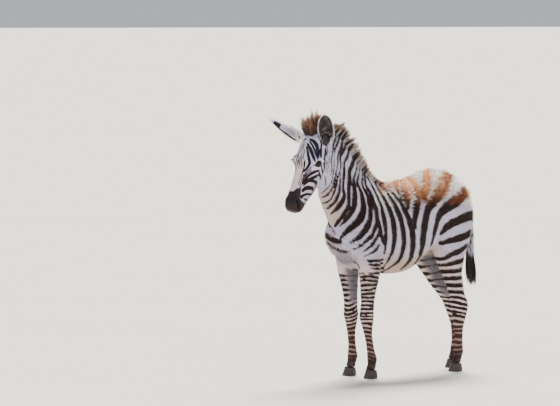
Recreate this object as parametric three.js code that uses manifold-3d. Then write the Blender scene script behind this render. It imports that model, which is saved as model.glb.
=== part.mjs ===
// Plains zebra foal, life size, standing square with its head turned a little to its left.
// Frame: millimetres, +Z up, floor at Z 0; the foal faces -Y and its left side is +X.
// Every limb is a loft: rings laid between a front (or top) outline and a back (or bottom) outline.
import * as THREE from "three";
import { mergeVertices } from "three/addons/utils/BufferGeometryUtils.js";
import Module from "manifold-3d";

const wasm = await Module();
wasm.setup();

// ---- driving dimensions ----
const poll = [12, -514, 1090]; // top of the skull, between the ears
const headPitch = 53.5; // degrees, nose below the horizon
const headYaw = 14; // degrees, towards the foal's left
const headRoll = 8; // degrees, its left side lower
const eyeRadius = 18;
const eyeSeat = [51.5, -138, -32]; // centre of the left eye, in the head's own frame
const earLength = 158;
const earWidth = 72;
const earWall = 5;
const hoofHeight = 38;
const pieceGap = 0.4; // clearance between neighbouring nodes
const frameShift = [2, 140]; // moves the origin under the middle of the bounding box

const coat = { color: 0xcfc4bb, roughness: 0.9, metalness: 0 };
const hair = { color: 0x6b4630, roughness: 0.95, metalness: 0 };
const horn = { color: 0x2b2522, roughness: 0.55, metalness: 0 };
const eye = { color: 0x0d0a0a, roughness: 0.08, metalness: 0 };

// ---- lofts ----
// A smooth curve through a list of rows, at t from 0 to 1.
function along(rows, t) {
  const at = t * (rows.length - 1);
  const i = Math.min(Math.floor(at), rows.length - 2);
  const f = at - i;
  const row = (k) => rows[Math.max(0, Math.min(rows.length - 1, k))];
  return rows[0].map((_, k) => {
    const [a, b, c, d] = [row(i - 1)[k], row(i)[k], row(i + 1)[k], row(i + 2)[k]];
    const [m0, m1] = [(c - a) / 2, (d - b) / 2];
    return b + f * (m0 + f * (3 * (c - b) - 2 * m0 - m1 + f * (2 * (b - c) + m0 + m1)));
  });
}

// Closes a stack of rings, each an array of [x, y, z], into one body.
function skin(rings) {
  const sides = rings[0].length;
  const points = rings.flat(2);
  const faces = [];
  for (let i = 0; i < rings.length - 1; i++)
    for (let k = 0; k < sides; k++) {
      const [a, b] = [i * sides + k, i * sides + ((k + 1) % sides)];
      faces.push(a, b, b + sides, a, b + sides, a + sides);
    }
  for (const end of [0, rings.length - 1]) {
    const centre = points.length / 3;
    for (let n = 0; n < 3; n++) points.push(rings[end].reduce((sum, p) => sum + p[n], 0) / sides);
    for (let k = 0; k < sides; k++) {
      const [a, b] = [end * sides + k, end * sides + ((k + 1) % sides)];
      faces.push(...(end === 0 ? [centre, b, a] : [centre, a, b]));
    }
  }
  return new THREE.BufferGeometry()
    .setAttribute("position", new THREE.Float32BufferAttribute(points, 3))
    .setIndex(faces);
}

// A row is [y1, z1, y2, z2, halfWidth, x, pinch1, pinch2]: one ring runs from the outline point
// (y1, z1) to the point (y2, z2), is centred at x, and narrows towards each end by its pinch.
function loft(rows, { sides = 20, between = 2, power = 2.2, grow = 0 } = {}) {
  const full = rows.map((r) => [...r, ...[0, 0, 0].slice(r.length - 5)]);
  const count = between * (rows.length - 1) + 1;
  const bend = (v) => Math.sign(v) * Math.abs(v) ** (2 / power);
  const rings = [];
  for (let i = 0; i < count; i++) {
    const [y1, z1, y2, z2, width, x, pinch1, pinch2] = along(full, i / (count - 1));
    const half = Math.hypot(y1 - y2, z1 - z2) / 2;
    const [uy, uz] = [(y1 - y2) / 2 / half, (z1 - z2) / 2 / half];
    rings.push(
      Array.from({ length: sides }, (_, k) => {
        const a = (2 * Math.PI * (k + 0.5)) / sides;
        const s = Math.sin(a);
        const up = (half + grow) * bend(s);
        const side = (width + grow) * bend(Math.cos(a)) * (1 - (s > 0 ? pinch1 : pinch2) * s * s);
        return [x + side, (y1 + y2) / 2 + uy * up, (z1 + z2) / 2 + uz * up];
      }),
    );
  }
  return skin(rings);
}

// A rounded muscle or bone: a sphere scaled to its half sizes, turned about X, then Y.
function lump([x, y, z], [rx, ry, rz], { tilt = 0, lean = 0, detail = 14, grow = 0 } = {}) {
  return new THREE.SphereGeometry(1, detail, Math.round(detail * 0.7))
    .scale(rx + grow, ry + grow, rz + grow)
    .rotateX(THREE.MathUtils.degToRad(tilt))
    .rotateY(THREE.MathUtils.degToRad(lean))
    .translate(x, y, z);
}

// Straight-line reading of a list of [height, offset] pairs, highest first.
function sway(pairs, z) {
  for (let i = 0; i < pairs.length - 1; i++) {
    const [[z1, v1], [z2, v2]] = [pairs[i], pairs[i + 1]];
    if (z >= z2) return v1 + ((v2 - v1) * (z1 - Math.min(z, z1))) / (z1 - z2);
  }
  return pairs.at(-1)[1];
}

// ---- solids ----
function solid(geometry) {
  const bare = geometry.index ? geometry.toNonIndexed() : geometry.clone();
  const only = new THREE.BufferGeometry().setAttribute("position", bare.getAttribute("position"));
  const merged = mergeVertices(only, 1e-3);
  const made = new wasm.Manifold(
    new wasm.Mesh({
      numProp: 3,
      vertProperties: merged.attributes.position.array,
      triVerts: new Uint32Array(merged.index.array),
    }),
  );
  return made;
}
const union = (geometries) => geometries.map(solid).reduce((a, b) => a.add(b));
const largest = (shape) => shape.decompose().sort((a, b) => b.volume() - a.volume())[0];

function toMesh(name, shape, finish) {
  const m = shape.getMesh();
  const positions = new Float32Array(m.numVert * 3);
  for (let i = 0; i < m.numVert; i++)
    positions.set(m.vertProperties.subarray(i * m.numProp, i * m.numProp + 3), i * 3);
  const geometry = new THREE.BufferGeometry()
    .setAttribute("position", new THREE.BufferAttribute(positions, 3))
    .setIndex(new THREE.BufferAttribute(m.triVerts, 1));
  geometry.computeVertexNormals();
  const mesh = new THREE.Mesh(geometry, new THREE.MeshStandardMaterial(finish));
  mesh.name = name;
  return mesh;
}

// ---- trunk and neck ----
// Rows run from the buttock to the breast: back outline, then belly outline.
const trunkRows = [
  [367, 738, 367, 692, 24, 0, 0, 0],
  [354, 794, 356, 658, 60, 0, 0, 0],
  [310, 857, 315, 632, 87, 0, 0.1, 0.1],
  [245, 900, 250, 600, 101, 0, 0.14, 0.2],
  [182, 917, 182, 570, 107, 0, 0.18, 0.25],
  [118, 915, 118, 535, 113, 0, 0.22, 0.2],
  [60, 900, 60, 490, 118, 0, 0.26, 0.1],
  [0, 879, 0, 457, 120, 0, 0.28, 0.05],
  [-80, 866, -80, 446, 118, 0, 0.28, 0.05],
  [-150, 860, -150, 450, 112, 0, 0.35, 0.1],
  [-215, 850, -215, 460, 106, 0, 0.35, 0.12],
  [-285, 815, -290, 480, 102, 0, 0.2, 0.1],
  [-350, 768, -350, 510, 98, 0, 0.05, 0.05],
  [-394, 714, -392, 556, 82, 0, 0, 0],
  [-416, 674, -415, 598, 50, 0, 0, 0],
  [-424, 650, -424, 622, 16, 0, 0, 0],
];
// Rows run up the neck: crest outline, then throat outline.
const neckRows = [
  [-110, 838, -330, 560, 86, 0, 0.4, 0],
  [-165, 862, -400, 640, 86, 0, 0.5, 0],
  [-224, 896, -432, 700, 76, 2, 0.5, 0.05],
  [-278, 946, -460, 748, 67, 4, 0.45, 0.1],
  [-328, 1004, -486, 804, 60, 7, 0.4, 0.1],
  [-372, 1060, -498, 862, 55, 9, 0.3, 0.1],
  [-426, 1090, -500, 915, 50, 11, 0.2, 0.1],
  [-482, 1088, -505, 955, 46, 12, 0.1, 0],
];

// ---- head, drawn level with the poll at the origin and the nose towards -Y ----
// Rows run from the poll to the lips: forehead and nose outline, then jaw outline.
const headRows = [
  [18, -16, 26, -84, 36, 0, 0, 0.1],
  [-6, 10, 8, -116, 54, 0, 0.05, 0.25],
  [-50, 32, -40, -150, 66, 0, 0.1, 0.4],
  [-95, 34, -92, -168, 68, 0, 0.12, 0.5],
  [-140, 24, -140, -168, 62, 0, 0.12, 0.52],
  [-190, 5, -194, -164, 49, 0, 0.05, 0.42],
  [-240, -9, -248, -149, 41, 0, 0, 0.3],
  [-290, -18, -296, -130, 38, 0, 0, 0.18],
  [-330, -27, -330, -118, 41, 0, 0, 0.1],
  [-358, -40, -353, -109, 36, 0, 0, 0.08],
  [-371, -59, -366, -93, 20, 0, 0, 0],
];

const headPlace = new THREE.Matrix4()
  .makeTranslation(...poll)
  .multiply(new THREE.Matrix4().makeRotationZ(THREE.MathUtils.degToRad(headYaw)))
  .multiply(new THREE.Matrix4().makeRotationX(THREE.MathUtils.degToRad(headPitch)))
  .multiply(new THREE.Matrix4().makeRotationY(THREE.MathUtils.degToRad(headRoll)));
const onHead = (geometry) => geometry.applyMatrix4(headPlace);

function headLumps(grow) {
  const lumps = [];
  for (const side of [-1, 1]) {
    lumps.push(lump([side * 47, -138, -27], [20, 32, 28], { tilt: -8, detail: 11, grow })); // orbit
    lumps.push(lump([side * 30, -100, -104], [26, 58, 58], { detail: 9, grow })); // cheek
    lumps.push(lump([side * 22, -335, -60], [16, 24, 24], { detail: 8, grow })); // nostril
    lumps.push(lump([side * 54, -20, -18], [20, 26, 26], { detail: 8, grow })); // ear root
  }
  lumps.push(lump([0, -336, -104], [22, 24, 14], { detail: 8, grow })); // chin
  return lumps;
}

// ---- legs ----
// Rows run down the leg: front outline, then back outline; sideways places are for the left.
const foreRows = [
  [-326, 640, -206, 640, 34, 62],
  [-334, 585, -196, 575, 44, 66],
  [-324, 530, -198, 515, 47, 68],
  [-312, 478, -207, 468, 45, 69],
  [-304, 430, -218, 425, 39, 69],
  [-299, 385, -228, 382, 33, 68],
  [-297, 340, -236, 338, 30, 67],
  [-303, 300, -240, 297, 31, 67],
  [-307, 272, -240, 270, 33, 67],
  [-296, 238, -243, 236, 26, 68],
  [-285, 198, -246, 198, 18, 69],
  [-275, 150, -240, 150, 16, 71],
  [-271, 116, -232, 114, 18, 73],
  [-271, 90, -221, 86, 21, 74],
  [-270, 64, -228, 58, 18, 75],
  [-280, 40, -234, 36, 21, 76],
  [-283, 28, -234, 28, 20, 77],
];
const hindRows = [
  [120, 800, 312, 800, 40, 54],
  [108, 730, 360, 730, 54, 53],
  [106, 650, 356, 650, 56, 53],
  [112, 590, 336, 590, 54, 55],
  [124, 535, 307, 535, 49, 60],
  [146, 480, 284, 480, 41, 65],
  [168, 438, 274, 438, 34, 68],
  [191, 390, 280, 390, 29, 70],
  [208, 345, 291, 350, 27, 70, 0, 0.2],
  [219, 302, 311, 314, 28, 70, 0, 0.3],
  [223, 272, 314, 286, 28, 70, 0, 0.25],
  [229, 235, 298, 240, 25, 70, 0, 0.12],
  [235, 200, 286, 202, 19, 70],
  [240, 160, 283, 162, 16, 70],
  [241, 122, 281, 120, 17, 70],
  [237, 92, 284, 88, 21, 70],
  [233, 64, 273, 58, 18, 70],
  [221, 40, 267, 36, 21, 70],
  [217, 28, 267, 28, 20, 70],
];
const rightForeSway = [[640, -12], [460, -6], [280, 22], [0, 5]];
const rightHindSway = [[600, -6], [480, -18], [390, 18], [300, 76], [210, 104], [0, 100]];

function leg(rows, side, pairs, grow) {
  const placed = rows.map(([y1, z1, y2, z2, width, x, ...rest]) => {
    const shift = side > 0 ? 0 : sway(pairs, (z1 + z2) / 2);
    return [y1 + shift, z1, y2 + shift, z2, width, side * x, ...rest];
  });
  return loft(placed, { sides: 12, between: 1, power: 2.1, grow });
}

// One hoof, its sole flat on the floor; y is the middle of the sole.
const hoof = (x, y, grow = 0) =>
  loft(
    [
      [y - 22, hoofHeight + 4, y + 24, hoofHeight - 3, 22, x],
      [y - 31, hoofHeight / 2, y + 27, hoofHeight / 2, 26, x],
      [y - 40, -grow, y + 30, -grow, 29, x],
    ],
    { sides: 16, between: 1, grow },
  );
const soles = {
  hoof_fore_left: [77, -254],
  hoof_fore_right: [-77, -249],
  hoof_hind_left: [70, 246],
  hoof_hind_right: [-70, 346],
};

// ---- the flesh in one piece ----
function body(grow) {
  const parts = [
    loft(trunkRows, { sides: 20, grow }),
    loft(neckRows, { sides: 18, grow }),
    onHead(loft(headRows, { sides: 18, power: 2.3, grow })),
    ...headLumps(grow).map(onHead),
    leg(foreRows, 1, rightForeSway, grow),
    leg(foreRows, -1, rightForeSway, grow),
    leg(hindRows, 1, rightHindSway, grow),
    leg(hindRows, -1, rightHindSway, grow),
  ];
  for (const side of [-1, 1]) {
    parts.push(lump([side * 58, -262, 690], [51, 78, 120], { tilt: -24, detail: 10, grow })); // blade
    parts.push(lump([side * 58, -330, 612], [48, 58, 76], { detail: 9, grow })); // shoulder point
    parts.push(lump([side * 66, -262, 552], [46, 62, 84], { tilt: 12, detail: 9, grow })); // arm
  }
  return union(parts);
}

// ---- ears: a curled leaf, its hollow side facing "open" ----
// A row is [share of the length, half width, half angle of the curl in degrees].
const earRows = [
  [0, 0.34, 150],
  [0.12, 0.37, 128],
  [0.3, 0.45, 98],
  [0.5, 0.5, 80],
  [0.68, 0.47, 66],
  [0.82, 0.36, 54],
  [0.93, 0.2, 44],
  [1, 0.05, 40],
];
function ear(root, direction, open, size) {
  const axis = new THREE.Vector3(...direction).normalize();
  const front = new THREE.Vector3(...open);
  front.addScaledVector(axis, -front.dot(axis)).normalize();
  const across = new THREE.Vector3().crossVectors(front, axis);
  const steps = 6;
  const rings = earRows.map(([share, half, curl]) => {
    const angle = THREE.MathUtils.degToRad(curl);
    const radius = (half * earWidth) / Math.sin(Math.min(angle, Math.PI / 2));
    const wall = Math.min(earWall, radius * 0.5);
    const arc = (r, from, to) =>
      Array.from({ length: steps + 1 }, (_, k) => {
        const a = from + ((to - from) * k) / steps;
        const back = radius * 0.45 * Math.cos(angle) - r * Math.cos(a) + radius * 0.35;
        return new THREE.Vector3(...root)
          .addScaledVector(axis, share * earLength * size)
          .addScaledVector(across, r * Math.sin(a))
          .addScaledVector(front, back)
          .toArray();
      });
    return [...arc(radius, -angle, angle), ...arc(radius - wall, angle * 0.97, -angle * 0.97)];
  });
  return skin(rings);
}

// ---- mane, forelock and tail ----
// Rows run along the crest from the withers to the poll: hair tips, then a line inside the neck.
const maneRows = [
  [-128, 868, -140, 830, 8, 0],
  [-152, 876, -176, 846, 11, 0],
  [-196, 920, -224, 874, 14, 2],
  [-234, 974, -278, 922, 15, 4],
  [-272, 1044, -328, 980, 15, 7],
  [-320, 1102, -372, 1036, 15, 9],
  [-376, 1142, -410, 1070, 15, 10],
  [-430, 1156, -440, 1076, 15, 11],
  [-474, 1160, -474, 1074, 14, 12],
];
// Rows run along the top of the head from behind the ears to the brow.
const forelockRows = [
  [-478, 1158, -478, 1074, 14, 12],
  [-502, 1164, -496, 1074, 19, 12],
  [-530, 1162, -510, 1070, 22, 11],
  [-560, 1150, -524, 1060, 22, 9],
  [-584, 1130, -536, 1046, 17, 8],
  [-594, 1110, -544, 1034, 8, 8],
];
// Rows run down the tail: front line, then back line.
const dockRows = [
  [326, 812, 318, 852, 17, 0],
  [350, 792, 366, 818, 18, 0],
  [362, 752, 388, 772, 17, 0],
  [366, 700, 398, 706, 16, 0],
  [366, 640, 400, 642, 15, 2],
  [365, 580, 400, 580, 16, 4],
  [364, 520, 398, 520, 17, 6],
];
const brushRows = [
  [364, 526, 398, 526, 14, 6],
  [358, 508, 402, 508, 19, 6],
  [355, 475, 411, 475, 22, 7],
  [356, 435, 417, 435, 21, 8],
  [361, 400, 419, 400, 15, 8],
  [376, 362, 412, 362, 7, 9],
];

// ---- cuts: each box takes its node out of what is left of the flesh ----
function box([sx, sy, sz], [x, y, z], tilt, grow) {
  return solid(
    new THREE.BoxGeometry(sx + 2 * grow, sy + 2 * grow, sz + 2 * grow)
      .rotateX(THREE.MathUtils.degToRad(tilt))
      .translate(x, y, z),
  );
}
const cuts = {
  head: (g) => box([400, 400, 500], [0, -700, 960], -8, g),
  neck: (g) => box([400, 560, 700], [0, -482, 1048], 36, g),
  foreleg_left: (g) => box([170, 240, 512], [97, -262, 246], 0, g),
  foreleg_right: (g) => box([170, 240, 512], [-97, -262, 246], 0, g),
  hindleg_left: (g) => box([170, 460, 560], [87, 290, 240], 0, g),
  hindleg_right: (g) => box([170, 460, 560], [-87, 290, 240], 0, g),
};

const group = new THREE.Group();
group.position.set(frameShift[0], frameShift[1], 0);
const snug = body(pieceGap);
const outside = (shape) => largest(shape.subtract(snug));

let flesh = body(0);
for (const [name, [x, y]] of Object.entries(soles)) {
  group.add(toMesh(name, solid(hoof(x, y)), horn));
  flesh = flesh.subtract(solid(hoof(x, y, pieceGap)));
}
const ball = (grow, side) =>
  onHead(
    new THREE.SphereGeometry(eyeRadius + grow, 12, 8)
      .rotateZ(-Math.PI / 2)
      .translate(side * eyeSeat[0], eyeSeat[1], eyeSeat[2]),
  );
for (const [name, side] of [["eye_left", 1], ["eye_right", -1]]) {
  group.add(toMesh(name, solid(ball(0, side)), eye));
  flesh = flesh.subtract(solid(ball(pieceGap, side)));
}
for (const [name, cut] of Object.entries(cuts)) {
  group.add(toMesh(name, largest(flesh.intersect(cut(0))), coat));
  flesh = flesh.subtract(cut(pieceGap));
}
group.add(toMesh("trunk", largest(flesh), coat));

const earPlaces = {
  ear_left: [[54, -24, -28], [0.5, -0.48, 0.72], [0.75, -0.62, 0.1], 1],
  ear_right: [[-66, -34, -18], [-0.54, -0.66, 0.53], [-0.3, 0.1, -0.95], 1],
};
for (const [name, [root, direction, open, size]] of Object.entries(earPlaces)) {
  const base = new THREE.Vector3(...root).applyMatrix4(headPlace).toArray();
  group.add(toMesh(name, outside(solid(ear(base, direction, open, size))), coat));
}
const mane = outside(solid(loft(maneRows, { sides: 8, power: 2 })));
group.add(toMesh("mane", mane, hair));
const forelock = outside(solid(loft(forelockRows, { sides: 8, between: 1, power: 2 })));
group.add(toMesh("forelock", forelock, hair));
const brush = solid(loft(brushRows, { sides: 10 }));
group.add(toMesh("tail_brush", brush, hair));
const dock = outside(solid(loft(dockRows, { sides: 10, between: 1 })));
const socket = solid(loft(brushRows, { sides: 10, grow: pieceGap }));
group.add(toMesh("tail", largest(dock.subtract(socket)), coat));

export default group;
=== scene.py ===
# Plains zebra foal, life size, in metres. The foal faces -Y, its left side is +X, the floor is at Z 0.
import math

import bmesh
import bpy
import numpy as np
from mathutils import Matrix, Vector
from mathutils.bvhtree import BVHTree
from mathutils.kdtree import KDTree


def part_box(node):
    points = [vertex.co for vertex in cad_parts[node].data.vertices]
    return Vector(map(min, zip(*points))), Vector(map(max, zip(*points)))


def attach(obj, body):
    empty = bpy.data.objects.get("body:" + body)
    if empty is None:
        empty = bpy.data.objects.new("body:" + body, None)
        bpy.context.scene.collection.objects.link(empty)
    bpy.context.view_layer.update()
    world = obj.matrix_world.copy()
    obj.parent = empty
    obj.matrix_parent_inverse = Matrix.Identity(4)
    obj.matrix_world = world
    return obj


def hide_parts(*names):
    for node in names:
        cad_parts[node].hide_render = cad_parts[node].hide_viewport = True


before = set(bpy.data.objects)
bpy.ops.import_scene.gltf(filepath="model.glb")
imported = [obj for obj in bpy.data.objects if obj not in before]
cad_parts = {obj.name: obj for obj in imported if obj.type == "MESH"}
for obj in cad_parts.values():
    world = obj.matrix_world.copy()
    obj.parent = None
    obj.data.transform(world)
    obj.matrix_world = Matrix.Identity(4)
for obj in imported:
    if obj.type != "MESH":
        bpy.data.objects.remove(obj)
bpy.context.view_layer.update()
scene = bpy.context.scene
rng = np.random.default_rng(11)


# camera, floor and light
studio = {
    "cameraPlace": (11.7945, -9.7764, 1.585),
    "cameraPitch": 86.94,  # degrees from straight down
    "cameraTurn": 52.0,
    "lens": 222.4,
    "floorSize": 900.0,
    "floorColour": (0.70, 0.68, 0.62),
    "airColour": (0.80, 0.84, 0.93),
    "airStrength": 0.66,
    "keyPlace": (-0.62, 0.55, 1.25),  # where the soft main light comes from
    "keyStrength": 10.5,
    "keySpread": 24.0,
    "keyColour": (1.0, 0.95, 0.88),
    "fillPlace": (1.0, -0.9, 0.7),
    "fillStrength": 0.95,
    "fillSpread": 80.0,
    "fillColour": (0.93, 0.95, 1.0),
}


def rad(degrees):
    return math.radians(degrees)


def makeSun(part):
    data = bpy.data.lights.new(part + "Light", "SUN")
    data.energy = studio[part + "Strength"]
    data.angle = rad(studio[part + "Spread"])
    data.color = studio[part + "Colour"]
    lamp = bpy.data.objects.new(part + "Light", data)
    lamp.rotation_euler = Vector(studio[part + "Place"]).to_track_quat("Z", "Y").to_euler()
    scene.collection.objects.link(lamp)


def makeStudio():
    lens = bpy.data.cameras.new("camera")
    lens.lens = studio["lens"]
    lens.sensor_width = 36.0
    lens.clip_end = 2000.0
    eye = bpy.data.objects.new("camera", lens)
    eye.location = studio["cameraPlace"]
    eye.rotation_euler = (rad(studio["cameraPitch"]), 0.0, rad(studio["cameraTurn"]))
    scene.collection.objects.link(eye)
    scene.camera = eye
    makeSun("key")
    makeSun("fill")
    world = bpy.data.worlds.new("studioAir")
    world.use_nodes = True
    air = world.node_tree.nodes["Background"]
    air.inputs["Color"].default_value = (*studio["airColour"], 1.0)
    air.inputs["Strength"].default_value = studio["airStrength"]
    scene.world = world
    half = studio["floorSize"] / 2
    corners = [(-half, -half, 0), (half, -half, 0), (half, half, 0), (-half, half, 0)]
    sheet = bpy.data.meshes.new("floor")
    sheet.from_pydata(corners, [], [(0, 1, 2, 3)])
    floor = bpy.data.objects.new("floor", sheet)
    scene.collection.objects.link(floor)
    return floor


floor = makeStudio()
print("studio: camera, floor and lights")


class Wire:
    # one output of a node; sums on it add Math nodes
    def __init__(self, board, socket):
        self.board = board
        self.socket = socket

    def calc(self, operation, first, second):
        return self.board.add("ShaderNodeMath", {"operation": operation}, {0: first, 1: second})

    def __add__(self, other):
        return self.calc("ADD", self, other)

    __radd__ = __add__

    def __sub__(self, other):
        return self.calc("SUBTRACT", self, other)

    def __rsub__(self, other):
        return self.calc("SUBTRACT", other, self)

    def __mul__(self, other):
        return self.calc("MULTIPLY", self, other)

    __rmul__ = __mul__

    def __truediv__(self, other):
        return self.calc("DIVIDE", self, other)

    def __rtruediv__(self, other):
        return self.calc("DIVIDE", other, self)

    def clamp(self):
        return self.board.add("ShaderNodeClamp", {}, {"Value": self})


class Board:
    # one material and its nodes
    def __init__(self, name):
        self.material = bpy.data.materials.new(name)
        self.material.use_nodes = True
        self.tree = self.material.node_tree
        self.tree.nodes.clear()

    def add(self, kind, settings, sockets, out=0):
        node = self.tree.nodes.new(kind)
        for key, value in settings.items():
            setattr(node, key, value)
        for key, value in sockets.items():
            if isinstance(value, Wire):
                self.tree.links.new(value.socket, node.inputs[key])
            else:
                node.inputs[key].default_value = value
        return Wire(self, node.outputs[out]) if len(node.outputs) else None

    def field(self, name):
        return self.add("ShaderNodeAttribute", {"attribute_name": name}, {}, "Fac")

    def vector(self, name):
        return self.add("ShaderNodeAttribute", {"attribute_name": name}, {}, "Vector")

    def tint(self, factor, first, second, way="MIX"):
        settings = {"data_type": "RGBA", "blend_type": way}
        first = first if isinstance(first, Wire) else (*first, 1.0)
        second = second if isinstance(second, Wire) else (*second, 1.0)
        return self.add("ShaderNodeMix", settings, {0: factor, 6: first, 7: second}, 2)

    def noise(self, where, scale, detail=2.0, rough=0.5):
        sockets = {"Vector": where, "Scale": scale, "Detail": detail, "Roughness": rough}
        return self.add("ShaderNodeTexNoise", {}, sockets, 0)

    def step(self, value, low, high):
        return ((value - low) / (high - low)).clamp()

    def grey(self, value):
        return self.add("ShaderNodeCombineColor", {"mode": "RGB"}, {0: value, 1: value, 2: value})

    def bump(self, height, strength, distance):
        return self.add("ShaderNodeBump", {}, {"Height": height, "Strength": strength, "Distance": distance})

    def finish(self, sockets):
        shader = self.add("ShaderNodeBsdfPrincipled", {}, sockets)
        self.add("ShaderNodeOutputMaterial", {}, {"Surface": shader})
        return self.material


def colour(red, green, blue):
    # screen values 0-255 to the linear values that a shader takes
    return tuple(((c / 255 + 0.055) / 1.055) ** 2.4 if c > 10 else c / 3295 for c in (red, green, blue))


# sums on arrays of points
def unit(v):
    return v / np.maximum(np.linalg.norm(v, axis=-1, keepdims=True), 1e-9)


def ramp(x, low, high):
    t = np.clip((x - low) / (high - low), 0.0, 1.0)
    return t * t * (3 - 2 * t)


def hump(x, middle, width):
    return np.exp(-((x - middle) / width) ** 2)


def ripple(points, size, seed):
    # soft random waves between -1 and 1, with bumps about as wide as size
    lot = np.random.default_rng(seed)
    turns = unit(lot.normal(size=(9, 3))) * lot.uniform(0.6, 1.5, (9, 1)) * 2 * math.pi / (size * 2)
    return np.sin(points @ turns.T + lot.uniform(0, 6.28, 9)).sum(1) / 3.6


def smoothSteps(count, edges, values, rounds, share=0.5, held=None):
    # each vertex moves towards the mean of its neighbours
    values = values.copy()
    first, second = edges[:, 0], edges[:, 1]
    degree = np.bincount(first, minlength=count) + np.bincount(second, minlength=count)
    degree = np.maximum(degree, 1)[:, None]
    amount = share if held is None else share * (1 - held[:, None])
    for _ in range(rounds):
        total = np.zeros_like(values)
        for k in range(values.shape[1]):
            total[:, k] += np.bincount(first, values[second, k], count)
            total[:, k] += np.bincount(second, values[first, k], count)
        values += amount * (total / degree - values)
    return values


def newObject(name, mesh):
    piece = bpy.data.objects.new(name, mesh)
    scene.collection.objects.link(piece)
    return piece


def meshFrom(name, points, faceLists):
    # faceLists: arrays of faces with three or four corners each
    mesh = bpy.data.meshes.new(name)
    mesh.vertices.add(len(points))
    mesh.vertices.foreach_set("co", np.asarray(points, np.float32).ravel())
    loops = np.concatenate([f.ravel() for f in faceLists]).astype(np.int32)
    sizes = np.concatenate([np.full(len(f), f.shape[1]) for f in faceLists])
    starts = np.concatenate([[0], np.cumsum(sizes)[:-1]]).astype(np.int32)
    mesh.loops.add(len(loops))
    mesh.loops.foreach_set("vertex_index", loops)
    mesh.polygons.add(len(sizes))
    mesh.polygons.foreach_set("loop_start", starts)
    mesh.update(calc_edges=True)
    mesh.validate()
    mesh.shade_smooth()
    return mesh


def readPoints(mesh, what="co"):
    data = mesh.vertices if what == "co" else mesh.vertex_normals
    out = np.empty(len(mesh.vertices) * 3, np.float32)
    data.foreach_get("co" if what == "co" else "vector", out)
    return out.reshape(-1, 3).astype(float)


def readEdges(mesh):
    out = np.empty(len(mesh.edges) * 2, np.int32)
    mesh.edges.foreach_get("vertices", out)
    return out.reshape(-1, 2)


def storeField(mesh, name, values):
    values = np.asarray(values, np.float32)
    kind = "FLOAT" if values.ndim == 1 else "FLOAT_VECTOR"
    layer = mesh.attributes.new(name, kind, "POINT")
    layer.data.foreach_set("value" if values.ndim == 1 else "vector", values.ravel())


# A place on the skin is read as millimetres along a region's axis and degrees round it from its top,
# the foal's left side positive.
headPlace = (
    Matrix.Translation((0.014, -0.374, 1.090))
    @ Matrix.Rotation(rad(14), 4, "Z")
    @ Matrix.Rotation(rad(53.5), 4, "X")
    @ Matrix.Rotation(rad(8), 4, "Y")
)
headTurn = np.array(headPlace.to_3x3())
headRoot = np.array(headPlace.translation)

regions = {
    "trunk": {
        "origin": (0.002, 0, 0.66),
        "axis": (0, 1, 0),
        "top": (0, 0, 1),
        "side": (1, 0, 0),
        "reach": 0.35,
    },
    "neck": {
        "origin": (0.004, -0.080, 0.699),
        "axis": (0, -0.645, 0.764),
        "top": (0, 0.764, 0.645),
        "side": (1, 0, 0),
        "reach": 0.22,
    },
    "head": {
        "origin": headRoot + headTurn @ (0, 0, -0.065),
        "axis": headTurn @ (0, -1, 0),
        "top": headTurn @ (0, 0, 1),
        "side": headTurn @ (1, 0, 0),
        "reach": 0.112,
    },
}


def regionPlace(region):
    return {key: np.array(value, float) for key, value in regions[region].items()}


def readRound(region, points):
    # millimetres along a region and degrees round it
    place = regionPlace(region)
    away = points - place["origin"]
    angle = np.degrees(np.arctan2(away @ place["side"], away @ place["top"]))
    return away @ place["axis"] * 1000, angle


def placeRound(tree, region, length, angle):
    # the place on the skin at a reading, or None where the region's reach ends before it
    place = regionPlace(region)
    start = place["origin"] + place["axis"] * length / 1000
    out = place["top"] * math.cos(rad(angle)) + place["side"] * math.sin(rad(angle))
    hit = tree.ray_cast(Vector(start), Vector(out), regions[region]["reach"])[0]
    return np.array(hit) if hit is not None else None


# the skin: its mesh
skinSet = {
    "voxel": 0.0057,
    "bodySmooth": 40,
    "headSmooth": 14,
    "eyeFine": 0.030,  # radius of the finest part round each eye
    "eyeFill": 0.0185,  # radius of the ball that fills each socket before the lids are cut
    "eyeStill": (0.034, 0.024),  # nearer an eye than this the skin is smoothed less
}
legNodes = ["foreleg_left", "foreleg_right", "hindleg_left", "hindleg_right"]
fleshNodes = ["head", "neck", "trunk", *legNodes, "tail"]
eyeCentres = {side: sum(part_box("eye_" + side), Vector()) / 2 for side in ("left", "right")}


def gatherFlesh():
    # all the flesh in one mesh, its nodes in turn, and the eyes filled in
    whole = bmesh.new()
    owners = []
    for number, name in enumerate(fleshNodes):
        before = len(whole.faces)
        whole.from_mesh(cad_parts[name].data)
        whole.faces.ensure_lookup_table()
        owners += [number] * (len(whole.faces) - before)
    tree = BVHTree.FromBMesh(whole)
    for centre in eyeCentres.values():
        place = Matrix.Translation(centre)
        bmesh.ops.create_icosphere(whole, subdivisions=3, radius=skinSet["eyeFill"], matrix=place)
    bmesh.ops.remove_doubles(whole, verts=whole.verts, dist=1e-5)
    mesh = bpy.data.meshes.new("flesh")
    whole.to_mesh(mesh)
    whole.free()
    return mesh, tree, owners


def remesh(mesh, voxel):
    piece = newObject("flesh", mesh)
    change = piece.modifiers.new("remesh", "REMESH")
    change.mode = "VOXEL"
    change.voxel_size = voxel
    change.adaptivity = 0.0
    done = bpy.data.meshes.new_from_object(piece.evaluated_get(bpy.context.evaluated_depsgraph_get()))
    bpy.data.objects.remove(piece)
    return done


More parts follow.
